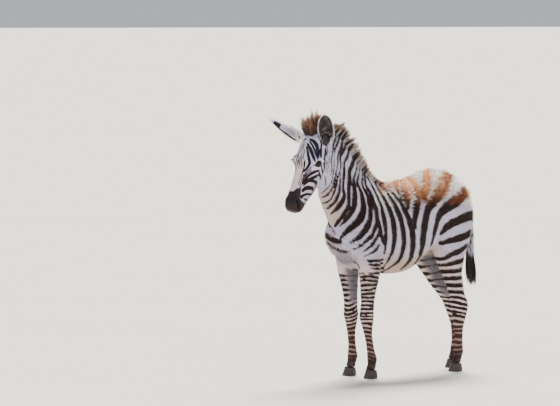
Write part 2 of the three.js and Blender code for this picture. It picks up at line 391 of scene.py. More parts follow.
def refine(mesh, wanted):
    # splits the faces whose middle is wanted into four
    work = bmesh.new()
    work.from_mesh(mesh)
    middles = np.array([f.calc_center_median() for f in work.faces])
    chosen = wanted(middles)
    edges = {e for f, pick in zip(work.faces, chosen) if pick for e in f.edges}
    bmesh.ops.subdivide_edges(work, edges=list(edges), cuts=1, use_grid_fill=True)
    bmesh.ops.triangulate(work, faces=[f for f in work.faces if len(f.verts) > 4])
    work.to_mesh(mesh)
    work.free()


def isHead(points):
    length = readRound("head", points)[0]
    inHead = (points - headRoot) @ headTurn
    return (inHead[:, 1] < 0.012) & (length < 400) & (points[:, 1] < -0.34)


def nearEye(points):
    return np.min([np.linalg.norm(points - np.array(c), axis=1) for c in eyeCentres.values()], axis=0)


flesh, fleshTree, fleshOwners = gatherFlesh()
skinMesh = remesh(flesh, skinSet["voxel"])
print("skin: remeshed", len(skinMesh.vertices))
refine(skinMesh, isHead)
refine(skinMesh, lambda p: nearEye(p) < skinSet["eyeFine"])
skinEdges = readEdges(skinMesh)
skinPoints = readPoints(skinMesh)
count = len(skinPoints)
print("skin: refined", count, len(skinMesh.polygons))

owner = np.array([fleshOwners[fleshTree.find_nearest(Vector(p))[2]] for p in skinPoints])
share = np.zeros((count, len(fleshNodes)))
share[np.arange(count), owner] = 1
share = smoothSteps(count, skinEdges, share, 26)
share = dict(zip(fleshNodes, share.T))
share["legs"] = sum(share[name] for name in legNodes)


def smoothForm(points, rounds, held):
    # smooths without shrinking: each step in is followed by a slightly larger step out
    for _ in range(rounds):
        points = smoothSteps(count, skinEdges, points, 1, 0.50, held)
        points = smoothSteps(count, skinEdges, points, 1, -0.53, held)
    return points


still = ramp(nearEye(skinPoints), *skinSet["eyeStill"])
skinPoints = smoothForm(skinPoints, skinSet["headSmooth"], still * 0.8)
held = np.clip(share["head"] * 1.3, 0, 1)
held = np.maximum(held, share["legs"] * ramp(skinPoints[:, 2], 0.45, 0.30) * 0.8)
skinPoints = smoothForm(skinPoints, skinSet["bodySmooth"], held)


def setPoints(mesh, points):
    mesh.vertices.foreach_set("co", points.astype(np.float32).ravel())
    mesh.update()


setPoints(skinMesh, skinPoints)
skinNormals = readPoints(skinMesh, "normal")
print("skin: smoothed")


# the forms of the head and body, worked into the skin
eyeSet = {
    "radius": 0.018,
    "look": (0.84, -0.48, 0.22),  # of the left eye, in the head's own frame
    "slant": (0, -1, 0.60),  # from the outer corner of the lids to the inner one
    "halfSlit": 62.0,  # degrees round the ball
    "upperLid": 43.0,
    "lowerLid": 35.0,
    "lidThick": 0.0016,
    "crease": 0.0016,
    "zone": 0.036,  # how far round the ball's centre the lids reach
    "skew": 0.12,  # how much higher the upper lid opens towards the inner corner
}
faceSet = {  # places in the head's own frame, mirrored to the other side
    "nostril": [
        (0.027, -0.333, -0.040), (0.033, -0.344, -0.050), (0.035, -0.352, -0.063), (0.031, -0.359, -0.076),
    ],
    "nostrilDeep": 0.009,
    "mouth": [
        (0, -0.368, -0.083), (0.018, -0.365, -0.086), (0.034, -0.345, -0.091), (0.036, -0.312, -0.094),
    ],
    "mouthDeep": 0.0034,
    "crest": [(0.052, -0.170, -0.066), (0.045, -0.205, -0.073), (0.040, -0.245, -0.076)],
    "forms": [  # place, size of the form, height: hollows are negative
        ((0.048, -0.098, -0.004), 0.016, -0.0035),  # hollow above the eye
        ((0.050, -0.132, -0.002), 0.012, 0.0022),  # brow
        ((0.030, -0.215, -0.032), 0.020, -0.0022),  # beside the nose bone
        ((0.040, -0.275, -0.075), 0.018, -0.0024),  # behind the nostril
        ((0.034, -0.120, -0.120), 0.034, 0.0035),  # cheek
        ((0.018, -0.322, -0.118), 0.010, -0.0022),  # groove before the chin
        ((0.0, -0.300, -0.120), 0.016, -0.0028),  # between the jaws
        ((0.0, -0.360, -0.060), 0.010, 0.0014),  # upper lip
    ],
}


def lineDistance(points, line):
    # distance from points to a line of given places, and how far along it the nearest place is
    line = np.asarray(line, float)
    best = np.full(len(points), 9.0)
    where = np.zeros(len(points))
    for k in range(len(line) - 1):
        step = line[k + 1] - line[k]
        t = np.clip((points - line[k]) @ step / max(step @ step, 1e-12), 0, 1)
        away = np.linalg.norm(points - line[k] - t[:, None] * step, axis=1)
        closer = away < best
        best[closer] = away[closer]
        where[closer] = k + t[closer]
    return best, where


def eyeFrame(side):
    flip = np.array([1.0 if side == "left" else -1.0, 1, 1])
    look = unit(headTurn @ (np.array(eyeSet["look"]) * flip))
    along = headTurn @ (np.array(eyeSet["slant"]) * flip)
    along = unit(along - look * (along @ look))
    up = np.cross(look, along)
    up = up if up @ headTurn[:, 2] > 0 else -up
    return np.array(eyeCentres[side]), look, along, up


def lidHeights(across):
    # how high the upper and the lower lid open, in degrees, at an angle across the ball
    arch = np.clip(1 - (across / eyeSet["halfSlit"]) ** 2, 0, 1) ** 0.95
    skew = 1 + eyeSet["skew"] * across / eyeSet["halfSlit"]
    return eyeSet["upperLid"] * arch * skew, eyeSet["lowerLid"] * arch, arch


def slitOutside(side, points):
    # millimetres outside the opening of the lids, measured on the ball; negative inside it
    centre, look, along, up = eyeFrame(side)
    away = points - centre
    reach = np.linalg.norm(away, axis=1)
    towards = away / reach[:, None]
    front = towards @ look
    across = np.degrees(np.arctan2(towards @ along, front))
    height = np.degrees(np.arctan2(towards @ up, np.abs(front) + 1e-6))
    upper, lower, _ = lidHeights(across)
    outside = np.maximum(height - upper, -height - lower)
    corner = np.hypot(np.maximum(np.abs(across) - eyeSet["halfSlit"], 0), height)
    outside = np.where(np.abs(across) > eyeSet["halfSlit"], corner, outside)
    outside = np.where(front < 0.05, 60, outside)
    return outside * eyeSet["radius"] * 1000 * math.pi / 180, reach, towards, height


def sculptEyes(points):
    for side in ("left", "right"):
        outside, reach, towards, height = slitOutside(side, points)
        near = reach < eyeSet["zone"]
        lid = eyeSet["radius"] + eyeSet["lidThick"] * (0.85 + 0.5 * hump(outside, 1.6, 1.5))
        lid = lid - eyeSet["crease"] * hump(outside, 6.5, 1.5) * ramp(height, -5, 20)
        lid = lid - 0.6 * eyeSet["crease"] * hump(outside, 5.0, 1.3) * ramp(height, -5, -20)
        keep = ramp(outside, 4.0, 12.0)
        wanted = lid * (1 - keep) + reach * keep
        hidden = eyeSet["radius"] - 0.0035
        wanted = np.where(outside < 0.1, hidden, wanted)
        wanted = np.where(near, wanted, reach)
        points = points + towards * (wanted - reach)[:, None]
    return points


def sculptFace(points, normals):
    # moves the skin's points, and says how much painted shade darkens the nostrils and the line of the mouth
    mirrored = (points - headRoot) @ headTurn
    mirrored[:, 0] = np.abs(mirrored[:, 0])
    change = np.zeros(len(points))
    away, at = lineDistance(mirrored, faceSet["nostril"])
    wide = 0.0034 + 0.0016 * hump(at, 2.0, 1.0)
    hole = hump(away, 0, wide)
    change -= faceSet["nostrilDeep"] * hole
    change += 0.0022 * hump(away, 0.010, 0.005)  # the raised rim
    away = lineDistance(mirrored, faceSet["mouth"])[0]
    lipLine = hump(away, 0, 0.0024)
    change -= faceSet["mouthDeep"] * lipLine
    change += 0.0016 * hump(away, 0.007, 0.004)  # the lips
    away = lineDistance(mirrored, faceSet["crest"])[0]
    change += 0.0026 * hump(away, 0, 0.008)
    for middle, size, height in faceSet["forms"]:
        change += height * hump(np.linalg.norm(mirrored - middle, axis=1), 0, size)
    return points + normals * change[:, None], np.maximum(ramp(hole, 0.12, 0.5), 0.7 * lipLine)


bodySet = {
    "middle": 0.002,  # X of the plane that the forms are mirrored in
    "forms": [  # place, size of the form, height: hollows are negative
        ((0.112, -0.170, 0.60), (0.03, 0.05, 0.07), 0.004),  # upper arm
        ((0.118, -0.085, 0.575), (0.03, 0.022, 0.07), -0.007),  # behind the elbow
        ((0.105, -0.105, 0.70), (0.03, 0.030, 0.11), -0.003),  # behind the shoulder
        ((0.080, -0.255, 0.66), (0.03, 0.035, 0.05), -0.004),  # between shoulder and breast
        ((0.110, 0.245, 0.60), (0.03, 0.045, 0.09), -0.005),  # flank
        ((0.112, 0.275, 0.55), (0.03, 0.040, 0.05), 0.005),  # stifle
        ((0.095, 0.320, 0.72), (0.04, 0.06, 0.08), 0.003),  # haunch
        ((0.060, 0.300, 0.885), (0.03, 0.05, 0.03), 0.002),  # hip
    ],
}


def sculptBody(points, normals):
    mirrored = points - np.array([bodySet["middle"], 0, 0])
    mirrored[:, 0] = np.abs(mirrored[:, 0])
    change = np.zeros(len(points))
    for middle, size, height in bodySet["forms"]:
        change += height * np.exp(-(((mirrored - middle) / size) ** 2).sum(1))
    outer = np.sign(points[:, 0] - bodySet["middle"]) * normals[:, 0]
    height = points[:, 2]
    cannon = share["legs"] * ramp(height, 0.10, 0.13) * ramp(height, 0.30, 0.24)
    change -= 0.0016 * cannon * hump(normals[:, 1], 0.25, 0.22) * np.abs(outer)
    change += 0.0006 * ripple(points, 0.05, 5) * (1 - share["head"])
    return points + normals * change[:, None]


depthSet = {  # how deep the skin lies under the tips of the coat
    "trunk": 0.0045,
    "neck": 0.004,
    "head": 0.0016,
    "tail": 0.006,
    "legs": 0.004,
    "shins": 0.0028,  # less than the rest of the legs
    "wool": 0.013,  # more than the rest of the trunk
}


def coatDepth(points):
    # the coat's depth, and how woolly it is
    along, angle = readRound("trunk", points)
    wool = ramp(np.abs(angle), 62, 26) * ramp(along, -120, 60) * share["trunk"]
    wool = wool * (1 - 0.85 * ramp(along, 100, 40) * ramp(np.abs(angle), 10, 24))
    low = ramp(points[:, 2], 0.60, 0.30)
    depth = sum(depthSet[name] * share[name] for name in ("trunk", "neck", "head", "tail"))
    depth = depth + share["legs"] * (depthSet["legs"] - depthSet["shins"] * low)
    return depth + depthSet["wool"] * wool, wool


skinPoints = sculptBody(skinPoints, skinNormals)
depth, wool = coatDepth(skinPoints)
skinPoints = skinPoints - skinNormals * depth[:, None]
skinPoints = smoothSteps(count, skinEdges, skinPoints, 3, 0.4, still * 0.8)
setPoints(skinMesh, skinPoints)
skinNormals = readPoints(skinMesh, "normal")
skinPoints, nostrilMouthShade = sculptFace(skinPoints, skinNormals)
skinPoints = sculptEyes(skinPoints)
setPoints(skinMesh, skinPoints)
print("skin: sculpted")


# the ears: curled leaves that belong to the skin
earSet = {
    "length": 0.163,
    "width": 0.073,
    "wall": 0.0030,
    "rows": [  # share of the length, half width, half angle of the curl
        (0, 0.34, 150),
        (0.12, 0.37, 128),
        (0.3, 0.45, 98),
        (0.5, 0.5, 80),
        (0.68, 0.47, 66),
        (0.82, 0.39, 54),
        (0.93, 0.25, 44),
        (1, 0.07, 40),
    ],
    "left": {"root": (0.054, -0.024, -0.028), "lean": (0.5, -0.48, 0.72), "open": (0.75, -0.62, 0.1)},
    "right": {"root": (-0.066, -0.034, -0.018), "lean": (-0.54, -0.66, 0.53), "open": (-0.3, 0.1, -0.95)},
    "rings": 54,
    "round": 26,  # points round each face of the leaf
}


def curve(rows, t):
    # a smooth curve through evenly read rows, at t from 0 to 1
    rows = np.asarray(rows, float)
    at = np.clip(t, 0, 1) * (len(rows) - 1)
    k = np.minimum(at.astype(int), len(rows) - 2)
    f = (at - k)[:, None]
    before, after = np.maximum(k - 1, 0), np.minimum(k + 2, len(rows) - 1)
    a, b, c, d = rows[before], rows[k], rows[k + 1], rows[after]
    pull1, pull2 = (c - a) / 2, (d - b) / 2
    return b + f * (pull1 + f * (3 * (c - b) - 2 * pull1 - pull2 + f * (2 * (b - c) + pull1 + pull2)))


def earFrame(side):
    # an ear's root, the way it leans, the way its hollow faces, and across it
    spot = earSet[side]
    axis = unit(np.array(spot["lean"], float))
    front = np.array(spot["open"], float)
    front = unit(front - axis * (front @ axis))
    return headRoot + headTurn @ np.array(spot["root"]), axis, front, np.cross(front, axis)


def makeEar(side):
    root, axis, front, across = earFrame(side)
    rows = curve(earSet["rows"], np.linspace(0, 1, earSet["rings"]))
    points, sharesUp, around, inside = [], [], [], []
    steps = earSet["round"]
    for upShare, half, curl in rows:
        angle = rad(curl)
        radius = half * earSet["width"] / math.sin(min(angle, math.pi / 2))
        thick = min(earSet["wall"], radius * 0.4)
        lift = radius - 0.0009
        outer = np.linspace(-angle, angle, steps)
        inner = outer[::-1] * 0.985
        turn = np.concatenate([outer, inner])
        rim = 1 - np.abs(turn / angle) ** 6 * 0.35
        reach = np.concatenate([np.full(steps, lift), np.full(steps, lift - thick)])
        reach = reach - np.concatenate([(1 - rim[:steps]) * thick, -(1 - rim[steps:]) * thick])
        back = radius * 0.45 * math.cos(angle) - reach * np.cos(turn) + radius * 0.35
        ring = root + axis * upShare * earSet["length"]
        ring = ring + across * (reach * np.sin(turn))[:, None] + front * back[:, None]
        points.append(ring)
        sharesUp += [upShare] * (2 * steps)
        around += list(np.concatenate([outer, outer[::-1]]) / angle)
        inside += [0] * steps + [1] * steps
    points = np.concatenate(points)
    ringSize = 2 * steps
    faces = []
    for k in range(earSet["rings"] - 1):
        low = k * ringSize + np.arange(ringSize)
        high = k * ringSize + (np.arange(ringSize) + 1) % ringSize
        faces.append(np.stack([low, low + ringSize, high + ringSize, high], 1))
    for k, flip in ((0, False), (earSet["rings"] - 1, True)):
        ring = k * ringSize + np.arange(ringSize)
        pairs = np.arange(steps - 1)
        cap = np.stack([ring[pairs], ring[pairs + 1], ring[-2 - pairs], ring[-1 - pairs]], 1)
        faces.append(cap[:, ::-1] if flip else cap)
    return points, np.concatenate(faces), np.array(sharesUp), np.array(around), np.array(inside)


def splitFaces(mesh):
    # the faces of a mesh as one array of triangles and one of quads
    total = np.empty(len(mesh.loops), np.int32)
    mesh.loops.foreach_get("vertex_index", total)
    start = np.empty(len(mesh.polygons), np.int32)
    size = np.empty(len(mesh.polygons), np.int32)
    mesh.polygons.foreach_get("loop_start", start)
    mesh.polygons.foreach_get("loop_total", size)
    return [total[start[size == n][:, None] + np.arange(n)] for n in (3, 4)]


triangles, quads = splitFaces(skinMesh)
bodyCount = len(skinPoints)
earUp = np.zeros(bodyCount)
earRound = np.zeros(bodyCount)
earInside = np.zeros(bodyCount)
isEar = np.zeros(bodyCount)
for side, sign in (("left", 1.0), ("right", -1.0)):
    points, faces, up, roundIt, inner = makeEar(side)
    quads = np.concatenate([quads, faces + len(skinPoints)])
    skinPoints = np.concatenate([skinPoints, points])
    earUp = np.concatenate([earUp, up])
    earRound = np.concatenate([earRound, roundIt])
    earInside = np.concatenate([earInside, inner])
    isEar = np.concatenate([isEar, np.full(len(points), sign)])
added = len(skinPoints) - bodyCount
for key in share:
    share[key] = np.concatenate([share[key], np.full(added, float(key == "head"))])
wool = np.concatenate([wool, np.zeros(added)])
nostrilMouthShade = np.concatenate([nostrilMouthShade, np.zeros(added)])
skinMesh = meshFrom("skin", skinPoints, [triangles, quads])
skinNormals = readPoints(skinMesh, "normal")
skinEdges = readEdges(skinMesh)
count = len(skinPoints)
bodyFaces = [list(face) for part in (triangles, quads) for face in part if face.max() < bodyCount]
skinTree = BVHTree.FromPolygons(skinPoints[:bodyCount], bodyFaces)
print("skin: ears joined,", count, "points")


# The markings. Each stripe is a line of (millimetres along, degrees round, half width in millimetres).

neckStripes = [
    [(412, 0, 7), (405, 55, 4), (392, 66, 3), (375, 88, 2.8), (366, 101, 2.5), (344, 115, 2.3),
     (326, 126, 2.0), (311, 138, 1.5)],
    [(401, 85, 2), (388, 100, 1.8), (372, 111, 1.8), (360, 119, 1.5)],
    [(392, 0, 6), (388, 50, 4), (387, 60, 3), (375, 71, 2), (359, 84, 2), (344, 99, 2.4),
     (329, 111, 2), (315, 125, 2)],
    [(315, 125, 2), (302, 133, 2), (287, 144, 2.3), (276, 153, 2.2), (265, 174, 1.5)],
    [(370, 0, 7), (363, 32, 6), (362, 52, 5), (358, 64, 3.5), (345, 76, 3), (330, 83, 3),
     (315, 106, 2.6), (306, 117, 3)],
    [(306, 117, 3), (292, 130, 3.2), (279, 138, 3.4), (267, 145, 4), (246, 165, 4), (249, 176, 3)],
    [(340, 0, 7), (342, 26, 7), (344, 50, 5), (343, 62, 4.5), (317, 76, 3), (303, 85, 3.2),
     (294, 102, 2.4), (288, 118, 2.8)],
    [(288, 118, 2.8), (274, 131, 3.4), (259, 140, 4), (222, 162, 3.5), (220, 178, 3)],
    [(288, 104, 1.2), (270, 117, 2.4), (258, 126, 3), (246, 133, 4), (225, 142, 6),
     (203, 158, 5.5), (194, 175, 4)],
    [(310, 0, 7), (307, 36, 6), (310, 55, 5), (304, 68, 5), (290, 74, 5), (277, 87, 6),
     (265, 99, 5.5), (254, 111, 5), (233, 127, 4), (205, 134, 6)],
    [(205, 134, 6), (186, 142, 10), (176, 157, 10), (165, 172, 3)],
    [(262, 0, 12), (262, 60, 9), (240, 82, 9.5), (217, 104, 10.5), (190, 122, 7), (168, 132, 6),
     (149, 141, 8.5)],
    [(149, 141, 8.5), (133, 156, 7.5), (107, 174, 5)],
    [(232, 0, 4), (222, 68, 4.5), (198, 84, 9), (166, 108, 11.5), (126, 130, 11), (112, 150, 9),
     (100, 166, 2.5)],
    [(210, 0, 3), (199, 63, 5), (158, 75, 8), (120, 94, 11), (88, 113, 14), (71, 135, 16),
     (76, 157, 10), (63, 166, 4)],
    [(190, 0, 3), (170, 52, 5), (121, 63, 8), (82, 86, 7.5), (48, 109, 10.5), (24, 129, 15),
     (24, 145, 12), (30, 157, 3)],
    [(172, 0, 6), (153, 39, 6.5), (107, 48, 8.5), (71, 71, 11), (18, 94, 12), (-3, 110, 11),
     (-21, 130, 8.5)],
    [(-21, 130, 8.5), (-4, 157, 3)],
    [(12, 95, 8), (-24, 103, 6), (-54, 110, 4), (-80, 117, 2)],
    [(-27, 110, 2), (-46, 119, 7), (-51, 130, 7.5), (-46, 142, 5), (-44, 151, 1.5)],
    [(-32, 111, 2), (-55, 115, 4), (-78, 118, 3.5), (-97, 121, 1.5)],
    [(-84, 128, 4), (-86, 132, 7), (-76, 139, 5), (-62, 151, 1.5)],
    [(8, 154, 2), (2, 150, 3), (-4, 147, 1.5)],
]
jawStripes = [  # behind the eye and the jaw, in the neck's places
    [(383, 129, 2.8), (366, 136, 2.3), (347, 148, 1.1)],
    [(385, 123, 2.2), (366, 129, 2.0), (345, 138, 1.6), (331, 144, 0.9)],
    [(372, 122, 1.8), (352, 128, 1.8), (337, 132, 1.4), (327, 135, 0.7)],
    [(326, 153, 1.2), (318, 154, 2.0), (304, 156, 2.4), (290, 160, 1.8)],
    [(416, 92, 1.8), (402, 104, 2.4), (390, 117, 2)],
    [(428, 88, 1.6), (416, 98, 2.2), (402, 112, 2)],
]
farStripes = [  # on the far side of the face only, in the head's places
    [(108, -30, 1.5), (122, -36, 3.5), (140, -42, 4.5), (156, -46, 4.5), (172, -46, 2)],
    [(92, -3, 0.8), (106, -4, 1.2), (122, -5, 0.8)],
    [(112, -11, 0.8), (136, -15, 1.4), (162, -18, 1.2), (188, -15, 0.8)],
    [(118, -21, 0.8), (144, -26, 1.4), (170, -27, 1.2), (188, -25, 0.6)],
    [(148, -8, 0.8), (170, -5, 1.2), (194, -1, 0.8)],
]
trunkStripes = [
    [(-88, 5, 5), (-75, 18, 7), (-66, 34, 9.5), (-60, 68, 9.5), (-53, 96, 6.5), (-49, 124, 6),
     (-49, 142, 3.5)],
    [(-50, 0, 6), (-40, 16, 7), (-29, 37, 9.5), (-18, 58, 12), (-8, 87, 12.5), (-6, 116, 11),
     (-8, 137, 8), (-27, 163, 3)],
    [(-18, 4, 5), (-5, 21, 7), (8, 37, 9), (24, 60, 12), (40, 97, 11.5), (48, 127, 11),
     (44, 150, 8), (-13, 169, 4)],
    [(10, 8, 4), (31, 28, 6), (50, 45, 10), (70, 68, 12.5), (90, 98, 13.5), (101, 129, 13.5),
     (105, 150, 11), (76, 164, 5)],
    [(66, 2, 8), (54, 15, 9), (52, 24, 6), (58, 34, 3)],
    [(114, 0, 8), (96, 18, 15), (87, 28, 17), (79, 39, 13), (76, 52, 3)],
    [(162, 0, 9), (150, 22, 13), (143, 36, 14), (116, 55, 17), (104, 75, 10.5), (112, 93, 3.5)],
    [(262, 0, 9), (216, 17, 15), (187, 27, 17), (175, 40, 4)],
    [(380, 2, 14), (332, 13, 21), (278, 28, 22), (224, 41, 18), (178, 57, 16), (163, 80, 19),
     (155, 107, 18)],
    [(155, 107, 18), (159, 127, 17), (162, 152, 12), (152, 162, 6)],
    [(460, 12, 16), (366, 40, 23), (293, 52, 22), (251, 64, 16.5), (240, 81, 14), (234, 114, 14),
     (235, 140, 10)],
    [(488, 60, 22), (440, 67, 20), (395, 74, 18), (331, 84, 17), (297, 97, 15), (278, 113, 5)],
    [(490, 105, 9), (450, 114, 15), (401, 118, 15.5), (347, 121, 13), (306, 127, 9), (277, 134, 6)],
    [(430, 136, 8.5), (371, 139, 11.5), (321, 142, 8), (293, 149, 3.5)],
]
headStripes = [
    [(28, 22, 3), (45, 32, 4), (62, 42, 3)],
    [(60, 6, 4), (62, 17, 6), (75, 29, 7), (95, 39, 6), (118, 49, 4)],
    [(72, 8, 3), (88, 20, 3.5), (103, 31, 4), (118, 41, 3.5), (132, 48, 2.5)],
    [(85, 5, 3.5), (105, 17, 5.5), (120, 27, 6), (135, 36, 5), (146, 44, 2.5)],
    [(100, 5, 3), (123, 14, 4), (145, 21, 4.5), (156, 32, 5), (172, 30, 4.5), (200, 22, 3)],
    [(112, 2, 1.4), (137, 4, 2.4), (155, 5, 1.5)],
    [(157, 12, 2), (173, 15, 3.5), (190, 17, 2.4), (206, 18, 1.6)],
    [(128, -5, 1), (155, -1, 1.6), (175, 5, 1.4), (192, 8, 1)],
    [(145, -13, 0.8), (165, -10, 1.2), (185, -6, 0.8)],
    [(204, 13, 1), (216, 22, 1.6), (232, 34, 1.4)],
    [(216, 12, 1), (228, 22, 1.7), (244, 35, 1.4)],
    [(228, 12, 1), (240, 23, 1.7), (255, 37, 1.4)],
    [(241, 12, 1), (252, 24, 1.7), (266, 38, 1.4)],
    [(254, 13, 1), (264, 25, 1.7), (277, 40, 1.2)],
    [(154, 86, 2.5), (174, 68, 6), (194, 51, 5), (212, 44, 4), (234, 38, 3.5), (254, 37, 2)],
    [(165, 98, 4.5), (170, 103, 5.5), (194, 82, 5), (218, 65, 6.5), (235, 49, 6), (258, 45, 1.5)],
    [(220, 67, 4), (205, 101, 5), (195, 126, 7), (220, 145, 3.5)],
    [(161, 92, 4), (168, 109, 5), (169, 137, 4)],
    [(276, 57, 5.5), (262, 59, 7.5), (244, 94, 6.5), (225, 128, 5.5), (235, 150, 3)],
    [(305, 66, 6), (287, 83, 4), (266, 117, 4), (246, 149, 4)],
    [(302, 95, 2), (286, 139, 4.5)],
    [(60, 39, 2.5), (83, 46, 5), (107, 58, 4)],
    [(62, 60, 4), (81, 71, 6.5), (104, 76, 3.5)],
    [(44, 48, 1.5), (50, 67, 2), (55, 84, 2)],
    [(96, 78, 3), (114, 86, 3.8), (127, 108, 3.2), (134, 124, 2)],
    [(134, 78, 2.8), (143, 102, 3.6), (150, 122, 3.8), (156, 140, 3)],
    [(118, 84, 1.8), (128, 100, 2.6), (137, 120, 2.8), (143, 138, 2.2)],
    [(170, 41, 2), (184, 36, 2.5), (204, 29, 2.2), (222, 25, 1.6)],
    [(178, 47, 2), (194, 40, 2.2), (212, 33, 2.2), (232, 28, 1.6)],
    [(188, 53, 2), (206, 43, 2.2), (226, 35, 2), (244, 31, 1.6)],
    [(92, 96, 2), (108, 112, 2.8), (116, 132, 2.6), (122, 146, 1.8)],
]
breastStripes = [  # across the front of the chest, in the neck's places, past the middle at 180
    [(112, 186, 2.5), (98, 179, 3.5), (82, 172, 3)],
    [(76, 193, 10), (70, 186, 14), (65, 180, 15), (58, 174, 13), (50, 167, 6)],
    [(42, 192, 7), (35, 187, 8), (27, 180, 8), (14, 174, 7), (1, 168, 7), (-6, 163, 4)],
    [(-74, 168, 3), (-88, 165, 5), (-104, 163, 3)],
    [(-60, 200, 3), (-80, 192, 4), (-92, 184, 3)],
]
hindSlope = [(540, -0.25), (450, -0.12), (390, 0.0), (340, 0.28), (290, 0.3), (230, 0.1), (100, -0.1)]
legBands = {
    # heights of the dark bands' middles in millimetres, and how far they drop towards the back per metre
    "foreleg_left": {
        "heights": [
            522, 503, 484, 466, 448, 431, 414, 397, 379, 361, 342, 323, 307, 290, 276, 262, 243, 225, 207,
            187, 167, 147, 126, 106, 88, 70,
        ],
        "slope": [(500, 0.0), (430, 0.10), (400, -0.10), (320, 0.0), (230, 0.1), (120, 0.35)],
    },
    "foreleg_right": {
        "heights": [
            470, 446, 424, 404, 384, 363, 343, 325, 306, 287, 269, 251, 232, 213, 191, 168, 147, 125, 105,
            87, 69,
        ],
        "slope": [(500, 0.1), (380, 0.0), (320, -0.3), (260, -0.35), (200, -0.2), (120, 0.1)],
    },
    "hindleg_left": {
        "heights": [
            530, 493, 457, 422, 390, 358, 328, 303, 281, 262, 245, 222, 200, 181, 158, 131, 108, 88, 68,
        ],
        "slope": hindSlope,
    },
    "hindleg_right": {
        "heights": [
            512, 476, 440, 404, 372, 343, 316, 292, 271, 252, 231, 209, 187, 163, 140, 117, 92, 72,
        ],
        "slope": hindSlope,
    },
}
markSet = {
    "edgeWander": 1.3,  # millimetres
    "softSide": 2.0,
    "softFine": 1.3,  # on the face and behind the jaw
    "softWool": 3.6,
    "farSway": 9.0,  # how far the far side's stripes wander from a mirror image
    "least": 0.6,  # added to every stripe's half width
    "spread": 2.3,  # added to the wide ones besides
    "woolSpread": 4.5,  # on the croup the dark stripes are wider than the white ones
    "dockRings": 0.034,  # from one ring of the tail to the next
    "farFace": 0.62,  # the far side's stripes are finer on the face
    "bare": 14.0,  # millimetres from any stripe that count as none
    "bandShare": 0.335,  # half of a leg band's width, as a share of the way to the next one
}


def layStripe(points):
    # an even line on the skin through the stripe's places, with its half widths
    points = np.asarray(points, float)
    gaps = np.linalg.norm(np.diff(points[:, :3], axis=0), axis=1)
    reach = np.concatenate([[0], np.cumsum(gaps)])
    at = np.linspace(0, reach[-1], max(5, int(reach[-1] / 0.005)))
    rows = np.stack([np.interp(at, reach, points[:, k]) for k in range(4)], 1)
    for again in range(4):
        for k in range(len(rows)):
            rows[k, :3] = skinTree.find_nearest(Vector(rows[k, :3]))[0]
        for soften in range(3):
            rows[1:-1] = rows[1:-1] * 0.5 + (rows[:-2] + rows[2:]) * 0.25
    return rows


def fullHalf(half):
    # a stripe's half width in metres, a little more than its listed value
    return (half + markSet["least"] + markSet["spread"] * ramp(half, 2, 6)) / 1000


def stripeLines(region, stripes, sides):
    # each stripe on the near side, and again on the far side with small changes
    lines = []
    lot = np.random.default_rng(len(region))
    for stripe in stripes:
        sway = lot.uniform(-1, 1) * markSet["farSway"] * (0.35 if region == "head" else 1)
        width = lot.uniform(0.85, 1.15) * (markSet["farFace"] if region == "head" else 1)
        for flip in sides:
            row = []
            for along, angle, half in stripe:
                drift = sway * math.sin(rad(min(abs(angle), 180))) if flip < 0 else 0
                spot = placeRound(skinTree, region, along + drift, angle * flip)
                if spot is not None:
                    row.append((*spot, fullHalf(half) * (width if flip < 0 else 1)))
            if len(row) > 1:
                lines.append(layStripe(row))
    return lines


def paintLines(points, lines):
    # millimetres inside the nearest stripe, negative outside
    bare = markSet["bare"]
    ink = np.full(len(points), -bare)
    for line in lines:
        reach = line[:, 3].max() + bare / 1000
        low = line[:, :3].min(0) - reach
        high = line[:, :3].max(0) + reach
        near = np.flatnonzero(((points > low) & (points < high)).all(1))
        if len(near) == 0:
            continue
        some = points[near]
        best = np.full(len(near), -bare)
        for k in range(len(line) - 1):
            step = line[k + 1, :3] - line[k, :3]
            t = np.clip((some - line[k, :3]) @ step / max(step @ step, 1e-12), 0, 1)
            away = np.linalg.norm(some - line[k, :3] - t[:, None] * step, axis=1)
            half = line[k, 3] * (1 - t) + line[k + 1, 3] * t
            best = np.maximum(best, (half - away) * 1000)
        ink[near] = np.maximum(ink[near], best)
    return ink


def legAxis(points, members):
    # the middle of a leg at each height, in slices of 20 mm
    slices = 32
    number = np.clip((points[:, 2] / 0.02).astype(int), 0, slices - 1)
    middle = np.zeros((slices, 2))
    for k in range(slices):
        here = members & (number == k)
        middle[k] = points[here, :2].mean(0) if here.sum() > 3 else (middle[k - 1] if k else 0)
    first = np.flatnonzero(np.abs(middle[:, 0]) > 0)[0]
    middle[:first] = middle[first]
    at = points[:, 2] / 0.02 - 0.5
    return np.stack([np.interp(at, np.arange(slices), middle[:, k]) for k in (0, 1)], 1)


